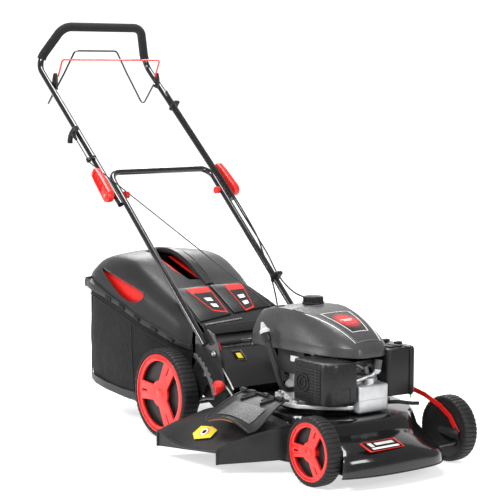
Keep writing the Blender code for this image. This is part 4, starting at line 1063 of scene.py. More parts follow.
def build_filter():
    """The air filter case, and the lid that swings off it."""
    plan = rounded_plan((0.052, 0.043), (0.127, 0.19), (0.01, 0.002, 0.002, 0.01))
    case = tall_plate(plan, 0.189, 0.317, 0.006)
    mouth = box((0.056, 0.048, 0.193), (0.14, 0.186, 0.313), 0.004)
    add("filter_case", combined(case, mouth), "black_plastic", "chassis", replaces=["air_filter_case"],
        angle=40)
    lugs = [box((0.074 + k * 0.026, 0.06, 0.316), (0.09 + k * 0.026, 0.11, 0.3215), 0.0015) for k in range(2)]
    add("filter_lugs", joined(lugs), "black_plastic", "chassis")
    plan = rounded_plan((0.1276, 0.039), (0.15, 0.195), (0.003, 0.016, 0.016, 0.003))
    lid = tall_plate(plan, 0.185, 0.32, 0.0095)
    lid = combined(lid, box((0.12, 0.048, 0.189), (0.144, 0.187, 0.305), 0.004))
    seam = joined([box((0.129, 0.037, 0.212), (0.148, 0.04, 0.2136)),
                   box((0.129, 0.037, 0.179), (0.1306, 0.04, 0.2136))])
    add("filter_lid", combined(lid, seam), "black_plastic", "filter_lid", replaces=["air_filter_lid"],
        angle=40)
    add("filter_clip", joined([box((0.124, 0.09, 0.318), (0.144, 0.104, 0.325), 0.0015),
                               box((0.124, 0.14, 0.318), (0.144, 0.154, 0.325), 0.0015)]), "black_plastic",
        "filter_lid")
    pipe = tube(smooth([(0.06, 0.07, 0.17), (0.09, 0.045, 0.172), (0.125, 0.034, 0.166),
                        (0.15, 0.03, 0.1635)], 8), 0.0052, 8)
    add("breather_pipe", pipe, "cord_black", "chassis")


def build_caps():
    centre = box_centre("fuel_cap") - OFFSET
    low, high = local("fuel_cap")
    profile = [(0.0, high.z), (0.0235, high.z), (0.0262, high.z - 0.003), (0.0268, high.z - 0.015),
               (0.03, high.z - 0.0155), (0.031, high.z - 0.0175), (0.0305, high.z - 0.0215),
               (0.0215, high.z - 0.022), (0.021, low.z + 0.0002), (0.0, low.z + 0.0002)]
    cap = lathe(profile, (centre.x, centre.y, 0.0), (0, 0, 1), 72)
    ribs = [turned(box((0.025, -0.0011, high.z - 0.015), (0.0284, 0.0011, high.z - 0.0022), 0.0005, 1),
                   Matrix.Translation((centre.x, centre.y, 0)) @ Matrix.Rotation(math.tau * k / 26, 4, "Z"))
            for k in range(26)]
    crown = lathe([(0.0, 0.0), (0.015, 0.0), (0.0145, 0.0012), (0.0, 0.0012)],
                  (centre.x, centre.y, high.z - 0.0002), (0, 0, 1), 48)
    add("cap_fuel", joined([cap, crown, *ribs]), "black_plastic", "filler_cap", replaces=["fuel_cap"])

    foot, top = Vector((-0.138, 0.256, 0.195)), Vector((-0.141, 0.33, 0.343))
    along = (top - foot).normalized()
    neck = [tube(bent([(-0.086, 0.256, 0.195), foot, top], [0.025], 10), 0.0078, 8),
            lathe([(0.0, 0.0), (0.01, 0.0), (0.012, 0.006), (0.012, 0.024), (0.0, 0.024)],
                  top - along * 0.0245, along, 32)]
    add("dipstick_neck", joined(neck), "black_plastic", "chassis", replaces=["dipstick_tube"])
    cap = lathe([(0.0, 0.0), (0.014, 0.0), (0.0145, 0.003), (0.014, 0.009), (0.01, 0.012), (0.0, 0.013)],
                top + along * 0.0004, along, 40)
    wing = plate([[(-0.0115, 0.0), (0.0115, 0.0), (0.007, 0.012), (0.003, 0.021), (-0.003, 0.021),
                   (-0.007, 0.012)]], 0.005, None, 0.0012)
    wing.transform(Matrix.Translation(top + along * 0.011) @ rotate_to(along)
                   @ Matrix.Rotation(math.pi / 2, 4, "X"))
    add("cap_dipstick", joined([cap, wing]), "pale_plastic_and_highlight", "oil_cap", replaces=["dipstick_cap"])


def build_engine():
    build_guard()
    build_head()
    build_flange()
    build_filter()
    build_caps()


# ---------------------------------------------------------------- bag
# Along the bag: Y, half width, seam height, top height, bottom height.
BAG_ROWS = [
    (0.666, 0.15, 0.26, 0.348, 0.172), (0.72, 0.172, 0.275, 0.38, 0.17),
    (0.8, 0.185, 0.3, 0.424, 0.164), (0.862, 0.197, 0.32, 0.46, 0.066),
    (0.95, 0.203, 0.352, 0.498, 0.068), (1.05, 0.203, 0.377, 0.502, 0.076),
    (1.115, 0.199, 0.39, 0.488, 0.084), (1.158, 0.186, 0.396, 0.462, 0.09),
]
BAG_ACROSS = [(1.0, 0.0), (0.99, 0.28), (0.95, 0.56), (0.84, 0.8), (0.72, 0.9), (0.5, 0.955), (0.25, 0.99),
              (0.0, 1.0)]


def dense_rows(rows, along, across):
    """A finer grid of points through a coarse one."""
    rows = [smooth([Vector(point) for point in row], across) for row in rows]
    columns = [smooth(list(column), along) for column in zip(*rows)]
    return [list(row) for row in zip(*columns)]


def bag_window():
    """The leaf-shaped opening in the lid's side, as (Y, Z)."""
    line = [(1.0865, 0.4509), (1.03, 0.417), (0.975, 0.386), (0.93, 0.369), (0.9, 0.365), (0.8735, 0.37),
            (0.856, 0.385), (0.866, 0.401), (0.92, 0.418), (1.0000, 0.437)]
    return [(point.x, point.y) for point in smooth_ring([(y, z, 0.0) for y, z in line], 4)]


def build_bag():
    rows = []
    for y, half, seam, top, _ in BAG_ROWS:
        side = [(half * across, seam + (top - seam) * up) for across, up in BAG_ACROSS]
        rows.append([(-x, y, z) for x, z in side[:-1]] + [(x, y, z) for x, z in reversed(side)])
    rows = dense_rows(rows, 4, 3)
    shell = solidified(loft(rows, closed=False, ends=(False, True)), 0.0028)
    for side in (-1, 1):
        leaf = plate([bag_window()], 0.1, standing(side * 0.2))
        shell = combined(shell, leaf)
        wide = 1.0 if side < 0 else 0.16
        plan = [(side * (0.016 + x * wide), y) for x, y in ((0.0, 0.812), (0.036, 0.818), (0.062, 0.87),
                                                            (0.07, 0.95), (0.054, 1.03), (0.0, 1.04))]
        shell = combined(shell, tall_plate(plan, 0.38, 0.56, 0.0))
    add("bag_lid", shell, "bag_lid_plastic", "grass_bag", replaces=["bag_top"], angle=42)

    for side, name in ((-1, "right"), (1, "left")):
        lip = [Vector((side * (bag_side(y, z) + 0.0006), y, z)) for y, z in bag_window()]
        add("bag_window_lip_" + name, tube(lip + lip[:1], 0.0022, 4), "bag_lid_plastic", "grass_bag")
        rows = []
        for step in range(13):
            y = 0.85 + 0.021 * step
            _, _, seam, top, _ = bag_row(y)
            heights = [seam + (top - seam) * (0.04 + 0.072 * k) for k in range(11)]
            rows.append([(side * (bag_side(y, z) - 0.014), y, z) for z in heights])
        tray = solidified(loft(rows, closed=False), 0.0016)
        add("bag_window_red_" + name, tray, "red_plastic", "grass_bag")
        slope = loft([[(side * x, y, z) for x, y, z in ((0.088, 1.03, 0.478), (0.088, 1.028, 0.476),
                                                        (0.018, 1.028, 0.476), (0.018, 1.03, 0.478))],
                      [(side * x, y, z) for x, y, z in ((0.086, 0.88, 0.428), (0.086, 0.878, 0.426),
                                                        (0.018, 0.878, 0.426), (0.018, 0.88, 0.428))]])
        add("bag_recess_red_" + name, slope, "red_plastic", "grass_bag")
        # Painted shade: the near-black floor and walls stand for the shade down in the recess beside the
        # handle.
        well = box((min(side * 0.012, side * 0.1), 0.8, 0.392), (max(side * 0.012, side * 0.1), 1.045, 0.395))
        add("bag_recess_floor_" + name, well, "dark_print_and_shade", "grass_bag")
        wall = loft([[(side * 0.09, y, 0.396), (side * 0.092, y, 0.396), (side * 0.092, y, z),
                      (side * 0.09, y, z)] for y, z in ((0.815, 0.42), (0.87, 0.45), (0.95, 0.484),
                                                        (1.04, 0.49))])
        add("bag_recess_wall_" + name, wall, "dark_print_and_shade", "grass_bag")
    # Painted shade: the recess's near-black rear and front walls.
    rear_wall = box((-0.1, 1.042, 0.396), (0.1, 1.044, 0.488))
    add("bag_recess_rear", rear_wall, "dark_print_and_shade", "grass_bag")
    front_wall = box((-0.06, 0.806, 0.392), (0.06, 0.808, 0.418))
    add("bag_recess_front", front_wall, "dark_print_and_shade", "grass_bag")

    spine = smooth([Vector(point) for point in ((0, 1.098, 0.49), (0, 1.052, 0.501), (0, 0.97, 0.5025),
                                                (0, 0.89, 0.478), (0, 0.83, 0.445), (0, 0.785, 0.417))], 6)
    rings = []
    for index, point in enumerate(spine):
        run = (spine[min(index + 1, len(spine) - 1)] - spine[max(index - 1, 0)]).normalized()
        up = Vector((0, -run.z, run.y)) * (1 if run.y > 0 else -1)
        corners = [(-0.013, -0.009), (-0.0145, 0.001), (-0.012, 0.0052), (0.0, 0.0066), (0.012, 0.0052),
                   (0.0145, 0.001), (0.013, -0.009)]
        rings.append([point + Vector((x, 0, 0)) + up * h for x, h in corners])
    add("bag_handle", loft(rings), "black_plastic", "grass_bag", angle=40)
    build_bag_rail()
    build_bag_cloth()


def bag_row(y):
    rows = BAG_ROWS
    for first, second in zip(rows, rows[1:]):
        if y <= second[0]:
            share = (y - first[0]) / (second[0] - first[0])
            return [a + (b - a) * share for a, b in zip(first, second)]
    return list(rows[-1])


def bag_side(y, z):
    """The lid's half width at one height."""
    _, half, seam, top, _ = bag_row(y)
    up = (z - seam) / (top - seam)
    for (x0, u0), (x1, u1) in zip(BAG_ACROSS, BAG_ACROSS[1:]):
        if up <= u1:
            return half * (x0 + (x1 - x0) * (up - u0) / (u1 - u0))
    return 0.0


def build_bag_rail():
    """The clamp rail round the lid's foot, which holds the cloth, with its clips."""
    line = smooth([Vector((row[1], row[0], row[2])) for row in BAG_ROWS], 4)
    for side, name in ((-1, "right"), (1, "left")):
        rings = []
        for index, point in enumerate(line):
            share = index / (len(line) - 1)
            late = max(share - 0.62, 0.0) / 0.38
            out = 0.0045 + 0.01 * late
            x, y, z = point
            rings.append([(side * (x - 0.005), y, z - 0.0085), (side * (x + out), y, z - 0.0085),
                          (side * (x + out + 0.0012), y, z),
                          (side * (x + out), y, z + 0.006 + 0.013 * late),
                          (side * (x - 0.005), y, z + 0.0075 + 0.016 * late)])
        add("bag_rail_" + name, loft(rings), "bag_lid_plastic", "grass_bag")
        clips, notches = [], []
        for y in (0.73, 0.8, 0.872, 0.945, 1.018, 1.086):
            _, half, seam, _, _ = bag_row(y)
            slope = math.atan2(bag_row(y + 0.01)[2] - seam, 0.01)
            turn = Matrix.Translation((side * (half + 0.006), y,
                                       seam - 0.001)) @ Matrix.Rotation(slope, 4, "X")
            clips.append(turned(box((-0.0012, -0.011, -0.0034), (0.0016, 0.011, 0.0034), 0.0008, 1), turn))
            notches.append(turned(box((-0.003, -0.015, -0.006), (0.0008, 0.015, 0.005), 0.0008, 1), turn))
        # Painted highlight: the clips are coloured pale to stand for the light they catch.
        add("bag_clips_" + name, joined(clips), "pale_plastic_and_highlight", "grass_bag")
        # Painted shade: the near-black notches round the clips stand for the shade in the rail's recesses.
        add("bag_notches_" + name, joined(notches), "dark_print_and_shade", "grass_bag")
    last = BAG_ROWS[-1]
    rear = []
    for x in (-1.0, -0.97, -0.5, 0.0, 0.5, 0.97, 1.0):
        y = last[0] + 0.006 * (1 - abs(x) ** 4)
        rear.append([(x * (last[1] + 0.015), y - 0.01, last[2] - 0.009),
                     (x * (last[1] + 0.015), y + 0.01, last[2] - 0.009),
                     (x * (last[1] + 0.015), y + 0.012, last[2] + 0.008),
                     (x * (last[1] + 0.015), y + 0.006, last[2] + 0.02),
                     (x * (last[1] + 0.015), y - 0.014, last[2] + 0.024)])
    add("bag_rail_rear", rounded(loft(rear), 0.002, 2), "bag_lid_plastic", "grass_bag")


def build_bag_cloth():
    """The cloth body: it hangs from the rail, bellies a little and creases at its corners."""
    rows = []
    for y, half, seam, _, bottom in BAG_ROWS:
        depth = seam - bottom
        side = [(half, seam), (half - 0.004, seam - depth * 0.16), (half - 0.002, seam - depth * 0.35),
                (half + 0.001, seam - depth * 0.6), (half - 0.003, bottom + depth * 0.16),
                (half - 0.012, bottom + 0.008), (half * 0.8, bottom), (half * 0.4, bottom - 0.001),
                (0.0, bottom - 0.001)]
        rows.append([(-x, y, z) for x, z in side[:-1]] + [(x, y, z) for x, z in reversed(side)])
    rows = dense_rows(rows, 6, 5)
    for row in rows:
        for point in row:
            crease = noise.noise(Vector((point.x * 8, point.y * 11, point.z * 14)))
            fine = noise.noise(Vector((point.x * 30, point.y * 34, point.z * 40)))
            out = Vector((point.x, 0, 0)).normalized() if abs(point.x) > 0.1 else Vector((0, 0, -1))
            point += out * (crease * 0.0034 + fine * 0.0009 - 0.0015)
            point.z = max(point.z, 0.0625)
    body = loft(rows, closed=False, ends=(False, True))
    cloth = add("bag_cloth", solidified(body, 0.0022), "bag_fabric", "grass_bag", replaces=["bag_body"],
                angle=60)
    for side, name in ((-1, "right"), (1, "left")):
        line = [Vector((side * (half + 0.0004), y, seam - 0.03)) for y, half, seam, _, _ in BAG_ROWS[1:]]
        seams = [tube(smooth(line, 5), 0.0016, 4)]
        corner = smooth([Vector((side * (BAG_ROWS[-1][1] - 0.004), BAG_ROWS[-1][0], z))
                         for z in (0.38, 0.3, 0.2, 0.11)], 4)
        seams.append(tube(corner, 0.0018, 4))
        panel = smooth([Vector((side * 0.2025, 0.905, 0.3)), Vector((side * 0.202, 0.9, 0.2)),
                        Vector((side * 0.198, 0.895, 0.09))], 6)
        seams.append(tube(panel, 0.0014, 4))
        add("bag_piping_" + name, joined(seams), "cord_black", "grass_bag")
        base = loft([[(side * (row[1] - 0.018), row[0], row[4] - 0.0015),
                      (side * (row[1] - 0.003), row[0], row[4] + 0.006),
                      (side * (row[1] - 0.0005), row[0], row[4] + 0.03),
                      (side * (row[1] - 0.003), row[0], row[4] + 0.03),
                      (side * (row[1] - 0.02), row[0], row[4] + 0.004)] for row in BAG_ROWS[3:]])
        add("bag_base_" + name, base, "black_plastic", "grass_bag")


# ---------------------------------------------------------------- rear flap
FLAP_LINE = [(0.586, 0.325), (0.67, 0.375), (0.72, 0.404), (0.752, 0.419)]


def flap_at(x, y, lift=0.0):
    """A point on the rear flap's top, lifted square to it."""
    for (y0, z0), (y1, z1) in zip(FLAP_LINE, FLAP_LINE[1:]):
        if y <= y1 or y1 == FLAP_LINE[-1][0]:
            share = (y - y0) / (y1 - y0)
            normal = Vector((0, -(z1 - z0), y1 - y0)).normalized()
            return Vector((x, y, z0 + (z1 - z0) * share)) + normal * (lift + 0.0014)


def flap_panel(corners, lift, thickness, bevel=0.0008, rows=4):
    """A four-sided panel (near low, far low, far high, near high) laid on the flap."""
    low_near, low_far, high_far, high_near = (Vector(corner) for corner in corners)
    rings = []
    for step in range(rows + 1):
        share = step / rows
        near, far = low_near.lerp(high_near, share), low_far.lerp(high_far, share)
        rings.append([flap_at(near.x, near.y, lift), flap_at(near.x, near.y, lift + thickness),
                      flap_at(far.x, far.y, lift + thickness), flap_at(far.x, far.y, lift)])
    return rounded(loft(rings), bevel, 2) if bevel else loft(rings)


def build_rear_flap():
    rod_y, rod_z = 0.548, 0.284
    line = arc((rod_y, rod_z), 0.0056, 0, -255, 14) + [(0.564, 0.299), (0.576, 0.312)] + FLAP_LINE
    rings = []
    for index, (y, z) in enumerate(line):
        before, after = Vector(line[max(index - 1, 0)]), Vector(line[min(index + 1, len(line) - 1)])
        run = (after - before).normalized()
        off = Vector((-run.y, run.x)) * 0.0014
        share = min(max((y - 0.6) / 0.15, 0.0), 1.0)
        near, far = -0.164 + 0.006 * share, 0.16 - 0.064 * share
        rings.append([(near, y + off.x, z + off.y), (near, y - off.x, z - off.y),
                      (far, y - off.x, z - off.y), (far, y + off.x, z + off.y)])
    add("flap_sheet", loft(rings), "black_plastic", "flap_rear", replaces=["rear_flap"], angle=40)
    pads = [("near", ((-0.163, 0.606), (-0.04, 0.624), (-0.047, 0.746), (-0.156, 0.742))),
            ("far", ((-0.029, 0.626), (0.13, 0.64), (0.093, 0.744), (-0.031, 0.747)))]
    for name, corners in pads:
        add("flap_pad_" + name, flap_panel(corners, 0.0, 0.006, 0.0024), "flap_plastic", "flap_rear")
    frames = [("near", ((-0.0938, 0.6396), (-0.0505, 0.6284), (-0.0435, 0.739), (-0.1264, 0.735))),
              ("far", ((0.0147, 0.6276), (0.0531, 0.6387), (0.0795, 0.737), (0.0154, 0.739)))]
    for name, corners in frames:
        a, b, c, d = (Vector(corner) for corner in corners)
        add("flap_print_" + name, flap_panel((a, b, c, d), 0.006, 0.0005, 0.0), "label_red", "flap_rear")
        middle = (a + b + c + d) / 4
        shrink = [middle + (corner - middle) * 0.9 for corner in (a, b, c, d)]
        top = 0.8
        inner = (shrink[0], shrink[1], shrink[1].lerp(shrink[2], top), shrink[0].lerp(shrink[3], top))
        add("flap_print_inner_" + name, flap_panel(inner, 0.0065, 0.0004, 0.0), "flap_plastic", "flap_rear")
        icons = []
        for share in (0.28, 0.62):
            low, high = share - 0.09, share + 0.09
            left, right = (0.3, 0.7) if name == "near" else (0.25, 0.75)
            corners_in = []
            for across, up in ((left, low), (right, low), (right, high), (left, high)):
                corners_in.append(inner[0].lerp(inner[3], up).lerp(inner[1].lerp(inner[2], up), across))
            icons.append(flap_panel(corners_in, 0.0069, 0.0004, 0.0))
        add("flap_icons_" + name, joined(icons), "label_white", "flap_rear")
    studs = [turned(box((-0.0034, -0.003, 0.0), (0.0034, 0.003, 0.0036), 0.0006, 1),
                    Matrix.Translation(flap_at(-0.15 + k * 0.0092, 0.596 + k * 0.0006, 0.0))
                    @ Matrix.Rotation(0.54, 4, "X")) for k in range(15)]
    add("flap_studs", joined(studs), "steel", "flap_rear")
    lip = loft([[(x, 0.57, 0.309), (x, 0.56, 0.31), (x, 0.564, 0.316), (x, 0.586, 0.333), (x, 0.59, 0.329)]
                for x in (-0.16, 0.14)])
    add("flap_roof_lip", rounded(lip, 0.001, 1), "flap_plastic", "flap_rear")
    build_rod_parts()


def build_rod_parts():
    """What sits along the flap's hinge: spring, red end clip, and the plates under it."""
    turns = []
    for step in range(9 * 12 + 1):
        angle = math.tau * step / 12
        turns.append(Vector((-0.06 + step * 0.00034, 0.548 + 0.0062 * math.cos(angle),
                             0.284 + 0.0062 * math.sin(angle))))
    leg = [turns[-1], Vector((-0.022, 0.54, 0.268)), Vector((-0.018, 0.536, 0.252)),
           Vector((-0.03, 0.535, 0.248))]
    add("hinge_spring", tube(turns + leg[1:], 0.001, 4), "steel", "chassis")
    sleeves = [rod((x, 0.548, 0.284), (x + 0.022, 0.548, 0.284), 0.0062) for x in (-0.09, -0.03)]
    add("hinge_sleeves", joined(sleeves), "steel", "chassis")
    clip = loft([[(-0.16, 0.544, 0.289), (-0.143, 0.544, 0.289), (-0.143, 0.54, 0.289),
                  (-0.16, 0.54, 0.289)], [(-0.152, 0.536, 0.265), (-0.137, 0.536, 0.265),
                                          (-0.137, 0.532, 0.265), (-0.152, 0.532, 0.265)],
                 [(-0.143, 0.53, 0.242), (-0.128, 0.53, 0.242), (-0.128, 0.526, 0.242),
                  (-0.143, 0.526, 0.242)]])
    add("hinge_red_clip", rounded(clip, 0.0012, 2), "red_plastic", "chassis")
    plate_corners = [(-0.145, 0.519, 0.242), (-0.072, 0.503, 0.238), (-0.08, 0.523, 0.264),
                     (-0.142, 0.532, 0.262)]
    add("data_plate", slanted_plate(plate_corners, 0.0016), "grey_plastic", "chassis")
    inner = shrunk(plate_corners, 0.0016, 0.001)
    add("data_plate_face", slanted_plate(inner, 0.0012), "dark_print_and_shade", "chassis")
    a, b, c, d = (Vector(corner) for corner in inner)
    normal = upward(b - a, d - a)
    square = []
    for across, up in ((0.66, 0.12), (0.9, 0.12), (0.9, 0.72), (0.66, 0.72)):
        square.append(a.lerp(b, across).lerp(d.lerp(c, across), up) + normal * 0.0012)
    add("data_plate_mark", slanted_plate(square, 0.0008), "label_yellow", "chassis")
    # Painted highlight: the pale lines along the duct's two edges stand for the light they catch.
    edge = smooth([Vector(point) for point in ((-0.158, 0.53, 0.244), (-0.158, 0.502, 0.218),
                                               (-0.158, 0.472, 0.19), (-0.158, 0.452, 0.169))], 5)
    low_edge = smooth([Vector(point) for point in ((-0.16, 0.54, 0.188), (-0.16, 0.5, 0.18),
                                                   (-0.16, 0.468, 0.162), (-0.16, 0.448, 0.145))], 5)
    add("duct_edges", joined([tube(edge, 0.0022, 5), tube(low_edge, 0.0026, 5)]), "pale_plastic_and_highlight", "chassis")
    heads = []
    for at in ((-0.1742, 0.566, 0.296), (-0.1742, 0.52, 0.262), (-0.1742, 0.562, 0.198),
               (-0.1742, 0.608, 0.122)):
        heads += bolt((at[0] - 0.002, at[1], at[2]), (-1, 0, 0), 0.0062, 0.006)
        heads += bolt((-at[0] + 0.002, at[1], at[2]), (1, 0, 0), 0.0062, 0.006)
    add("bracket_bolts", joined(heads), "steel", "chassis")


# ---------------------------------------------------------------- side flap and chute
HINGE = Vector((-0.203, 0.255, 0.1915))


def side_flap_at(out, share, lift=0.0):
    """A point on the side flap: out from its hinge, and along it from front to rear."""
    front = 0.166 - 0.03 * out
    corner = (max(out - 0.74, 0.0) / 0.26) ** 2.5
    front, rear = front + 0.026 * corner, 0.345 + 0.02 * out - 0.014 * corner
    ends = (abs(share - 0.5) * 2) ** 3
    arch = 0.02 * out * math.sin(math.pi * share) + 0.0035 * math.sin(math.pi * out) * ends
    return Vector((HINGE.x - 0.122 * out, front + (rear - front) * share,
                   HINGE.z - 0.0035 - 0.066 * out ** 1.15 + arch + lift))


def build_side_flap():
    rows = [[side_flap_at(out / 20, share / 28) for share in range(29)] for out in range(21)]
    sheet = solidified(loft(rows, closed=False), 0.0028)
    add("side_flap_sheet", sheet, "flap_plastic", "flap_side", replaces=["side_flap"], angle=40)
    edge = [side_flap_at(out / 12, 0.0) for out in range(13)] + [side_flap_at(1.0, share / 20)
                                                                 for share in range(1, 21)]
    edge += [side_flap_at(1 - out / 12, 1.0) for out in range(1, 13)]
    add("side_flap_rim", tube(edge, 0.003, 6), "flap_plastic", "flap_side")
    rows = [[side_flap_at(0.42 + 0.48 * out / 8, 0.14 + 0.66 * share / 12, 0.0024) for share in range(13)]
            for out in range(9)]
    add("side_flap_label", solidified(loft(rows, closed=False), 0.0008), "label_print", "flap_side")
    # Painted shade: the near-black strips under the springs stand for the shade in the flap's slots.
    dark, springs = [], []
    for share in (0.26, 0.7):
        dark.append(tube([side_flap_at(0.06, share - 0.05, 0.001), side_flap_at(0.34, share + 0.06, 0.002)],
                         0.005, 6))
        springs.append(tube([side_flap_at(0.02, share - 0.05, 0.006),
                             side_flap_at(0.3, share + 0.05, 0.0055)], 0.0018, 6))
        springs.append(tube([side_flap_at(0.02, share - 0.01, 0.006),
                             side_flap_at(0.26, share + 0.1, 0.0055)], 0.0018, 6))
    add("side_flap_slots", joined(dark), "dark_print_and_shade", "flap_side")
    add("side_flap_springs", joined(springs), "cord_black", "flap_side")
    pin = rod((HINGE.x, 0.15, HINGE.z), (HINGE.x, 0.36, HINGE.z), 0.0034)
    knuckles = [rod((HINGE.x, y, HINGE.z), (HINGE.x, y + 0.022, HINGE.z), 0.0068)
                for y in (0.172, 0.232, 0.292, 0.33)]
    add("side_flap_hinge", joined([pin, *knuckles]), "black_plastic", "chassis")
    strip = loft([[tuple(side_flap_at(0.975, share, -0.0045)), tuple(side_flap_at(0.975, share, -0.0085)),
                   tuple(side_flap_at(0.93, share, -0.0085)), tuple(side_flap_at(0.93, share, -0.0045))]
                  for share in [0.4 + 0.55 * step / 14 for step in range(15)]])
    add("side_flap_strip", strip, "rust_orange", "flap_side")


# Each section: distance out, front and rear Y, then bottom, front top, three middle heights, rear top.
CHUTE_ROWS = [
    (-0.206, 0.128, 0.438, 0.042, 0.132, 0.146, 0.15, 0.144, 0.13),
    (-0.242, 0.142, 0.462, 0.04, 0.128, 0.14, 0.142, 0.138, 0.126),
    (-0.285, 0.172, 0.486, 0.036, 0.114, 0.112, 0.11, 0.108, 0.106),
    (-0.33, 0.205, 0.503, 0.032, 0.094, 0.084, 0.08, 0.081, 0.09),
    (-0.372, 0.236, 0.513, 0.028, 0.067, 0.055, 0.049, 0.054, 0.071),
]


def chute_at(x, y, lift=0.0):
    """A point on the chute's top."""
    rows = CHUTE_ROWS
    for first, second in zip(rows, rows[1:]):
        if x >= second[0]:
            break
    share = (x - first[0]) / (second[0] - first[0])
    row = [a + (b - a) * share for a, b in zip(first, second)]
    span = row[2] - row[1]
    stops = [(row[1] + 0.01, row[4]), (row[1] + span * 0.3, row[5]), (row[1] + span * 0.55, row[6]),
             (row[1] + span * 0.78, row[7]), (row[2] - 0.01, row[8])]
    for (y0, z0), (y1, z1) in zip(stops, stops[1:]):
        if y <= y1:
            break
    return Vector((x, y, z0 + (z1 - z0) * (y - y0) / (y1 - y0) + lift))


def build_chute():
    rows = []
    for x, front, rear, bottom, first, second, third, fourth, last in CHUTE_ROWS:
        span = rear - front
        rows.append([(x, front, bottom), (x, front, (bottom + first) / 2),
                     (x, front + 0.0015, first - 0.005), (x, front + 0.008, first),
                     (x, front + span * 0.3, second), (x, front + span * 0.55, third),
                     (x, front + span * 0.78, fourth), (x, rear - 0.008, last),
                     (x, rear - 0.0015, last - 0.005), (x, rear, (bottom + last) / 2), (x, rear, bottom)])
    shell = solidified(loft(dense_rows(rows, 5, 4), closed=False), 0.0026)
    add("chute_shell", shell, "flap_plastic", "chassis", replaces=["discharge_chute"], angle=45)
    edge = dense_rows(rows, 5, 4)
    add("chute_rim", tube(list(edge[-1]), 0.0036, 6), "flap_plastic", "chassis")
    _, front, rear, bottom = CHUTE_ROWS[-1][:4]
    foot = [bottom + 0.03 * (rear - point.y) / (rear - front) for point in edge[-1]]
    end = [[Vector((point.x + shift, point.y, max(point.z, low))) for point, low in zip(edge[-1], foot)]
           for shift in (0.0004, 0.0028)]
    add("chute_end", loft(end), "flap_plastic", "chassis", angle=45)
    outline = [(-0.311, 0.392), (-0.304, 0.35), (-0.3113, 0.318), (-0.3374, 0.314), (-0.3504, 0.3695),
               (-0.3374, 0.3947)]
    sticker = [chute_at(x, y, 0.0042) for x, y in outline]
    add("chute_sticker", slanted_plate(sticker, 0.001), "label_yellow", "chassis")
    middle = sum(sticker, Vector()) / len(sticker)
    normal = upward(sticker[2] - sticker[0], sticker[4] - sticker[0])
    for radius, name, lift in ((0.015, "label_red", 0.0008), (0.0128, "label_white", 0.0012),
                               (0.007, "dark_print_and_shade", 0.0016)):
        spot = disc(radius, 0.0006, middle + normal * lift, normal, 32)
        add("chute_sticker_" + name, spot, name, "chassis")


# ---------------------------------------------------------------- small parts
def build_knob():
    """The ribbed knob on the cutting-height lever."""
    low, high = local("height_knob")
    foot = Vector((-0.215, high.y - 0.006, low.z + 0.002))
    along = Vector((0, -0.42, 0.91)).normalized()
    profile = [(0.0, 0.0), (0.0058, 0.0), (0.0062, 0.006), (0.0095, 0.012), (0.014, 0.022), (0.015, 0.028),
               (0.0135, 0.035), (0.0085, 0.0395), (0.0, 0.0405)]
    knob = lathe(profile, foot, along, 48)
    ribs = []
    for index in range(12):
        line = [Vector((radius + 0.0004, 0, height)) for radius, height in profile[3:8]]
        rib = tube(smooth(line, 3), 0.0014, 4)
        turn = Matrix.Rotation(math.tau * index / 12, 4, "Z")
        ribs.append(turned(rib, Matrix.Translation(foot) @ rotate_to(along) @ turn))
    add("lever_knob", joined([knob, *ribs]), "red_plastic", "lever", replaces=["height_knob"])


def build_clamps():
    """The cam levers: a round hub, and a channel that lies over the tube when it is closed."""
    for side, name in ((-1, "right"), (1, "left")):
        outline = arc((0, 0), 0.02, 180, 360, 14) + [(0.019, 0.07), (0.016, 0.102), (0.01, 0.108),
                                                     (-0.01, 0.108), (-0.016, 0.102), (-0.019, 0.07)]
        lever = plate([outline], 0.02, STANDING, 0.003)
        pocket = plate([[(-0.0125, 0.028), (0.0125, 0.028), (0.011, 0.096), (-0.011, 0.096)]], 0.008,
                       Matrix.Translation((side * 0.01, 0, 0)) @ STANDING)
        lever = combined(lever, pocket)
        ribs = [box((side * 0.0075 - 0.0022, -0.01, z), (side * 0.0075 + 0.0022, 0.01, z + 0.0022), 0.0005,
                    1) for z in (0.044, 0.062, 0.08)]
        hub = lathe([(0.0, 0.0), (0.0125, 0.0), (0.012, 0.003), (0.0, 0.0036)], (side * 0.0098, 0, 0),
                    (side, 0, 0), 36)
        lean = Matrix(((1, 0, -side * 0.045, 0), (0, 1, 0, 0), (0, 0, 1, 0), (0, 0, 0, 1)))
        closed = turned(joined([lever, hub, *ribs]),
                        ALONG_TUBE @ Matrix.Translation((side * 0.232, 0, 0)) @ lean)
        add("clamp_handle_" + name, closed, "red_plastic", "clamp_lever_" + name,
            replaces=["cam_lever_" + name])
        screw = turned(lathe([(0.0, 0.0), (0.0048, 0.0), (0.0044, 0.0018), (0.0, 0.0018)],
                             (side * 0.2452, 0, 0), (side, 0, 0), 24), ALONG_TUBE)
        add("clamp_screw_" + name, screw, "steel", "clamp_lever_" + name)


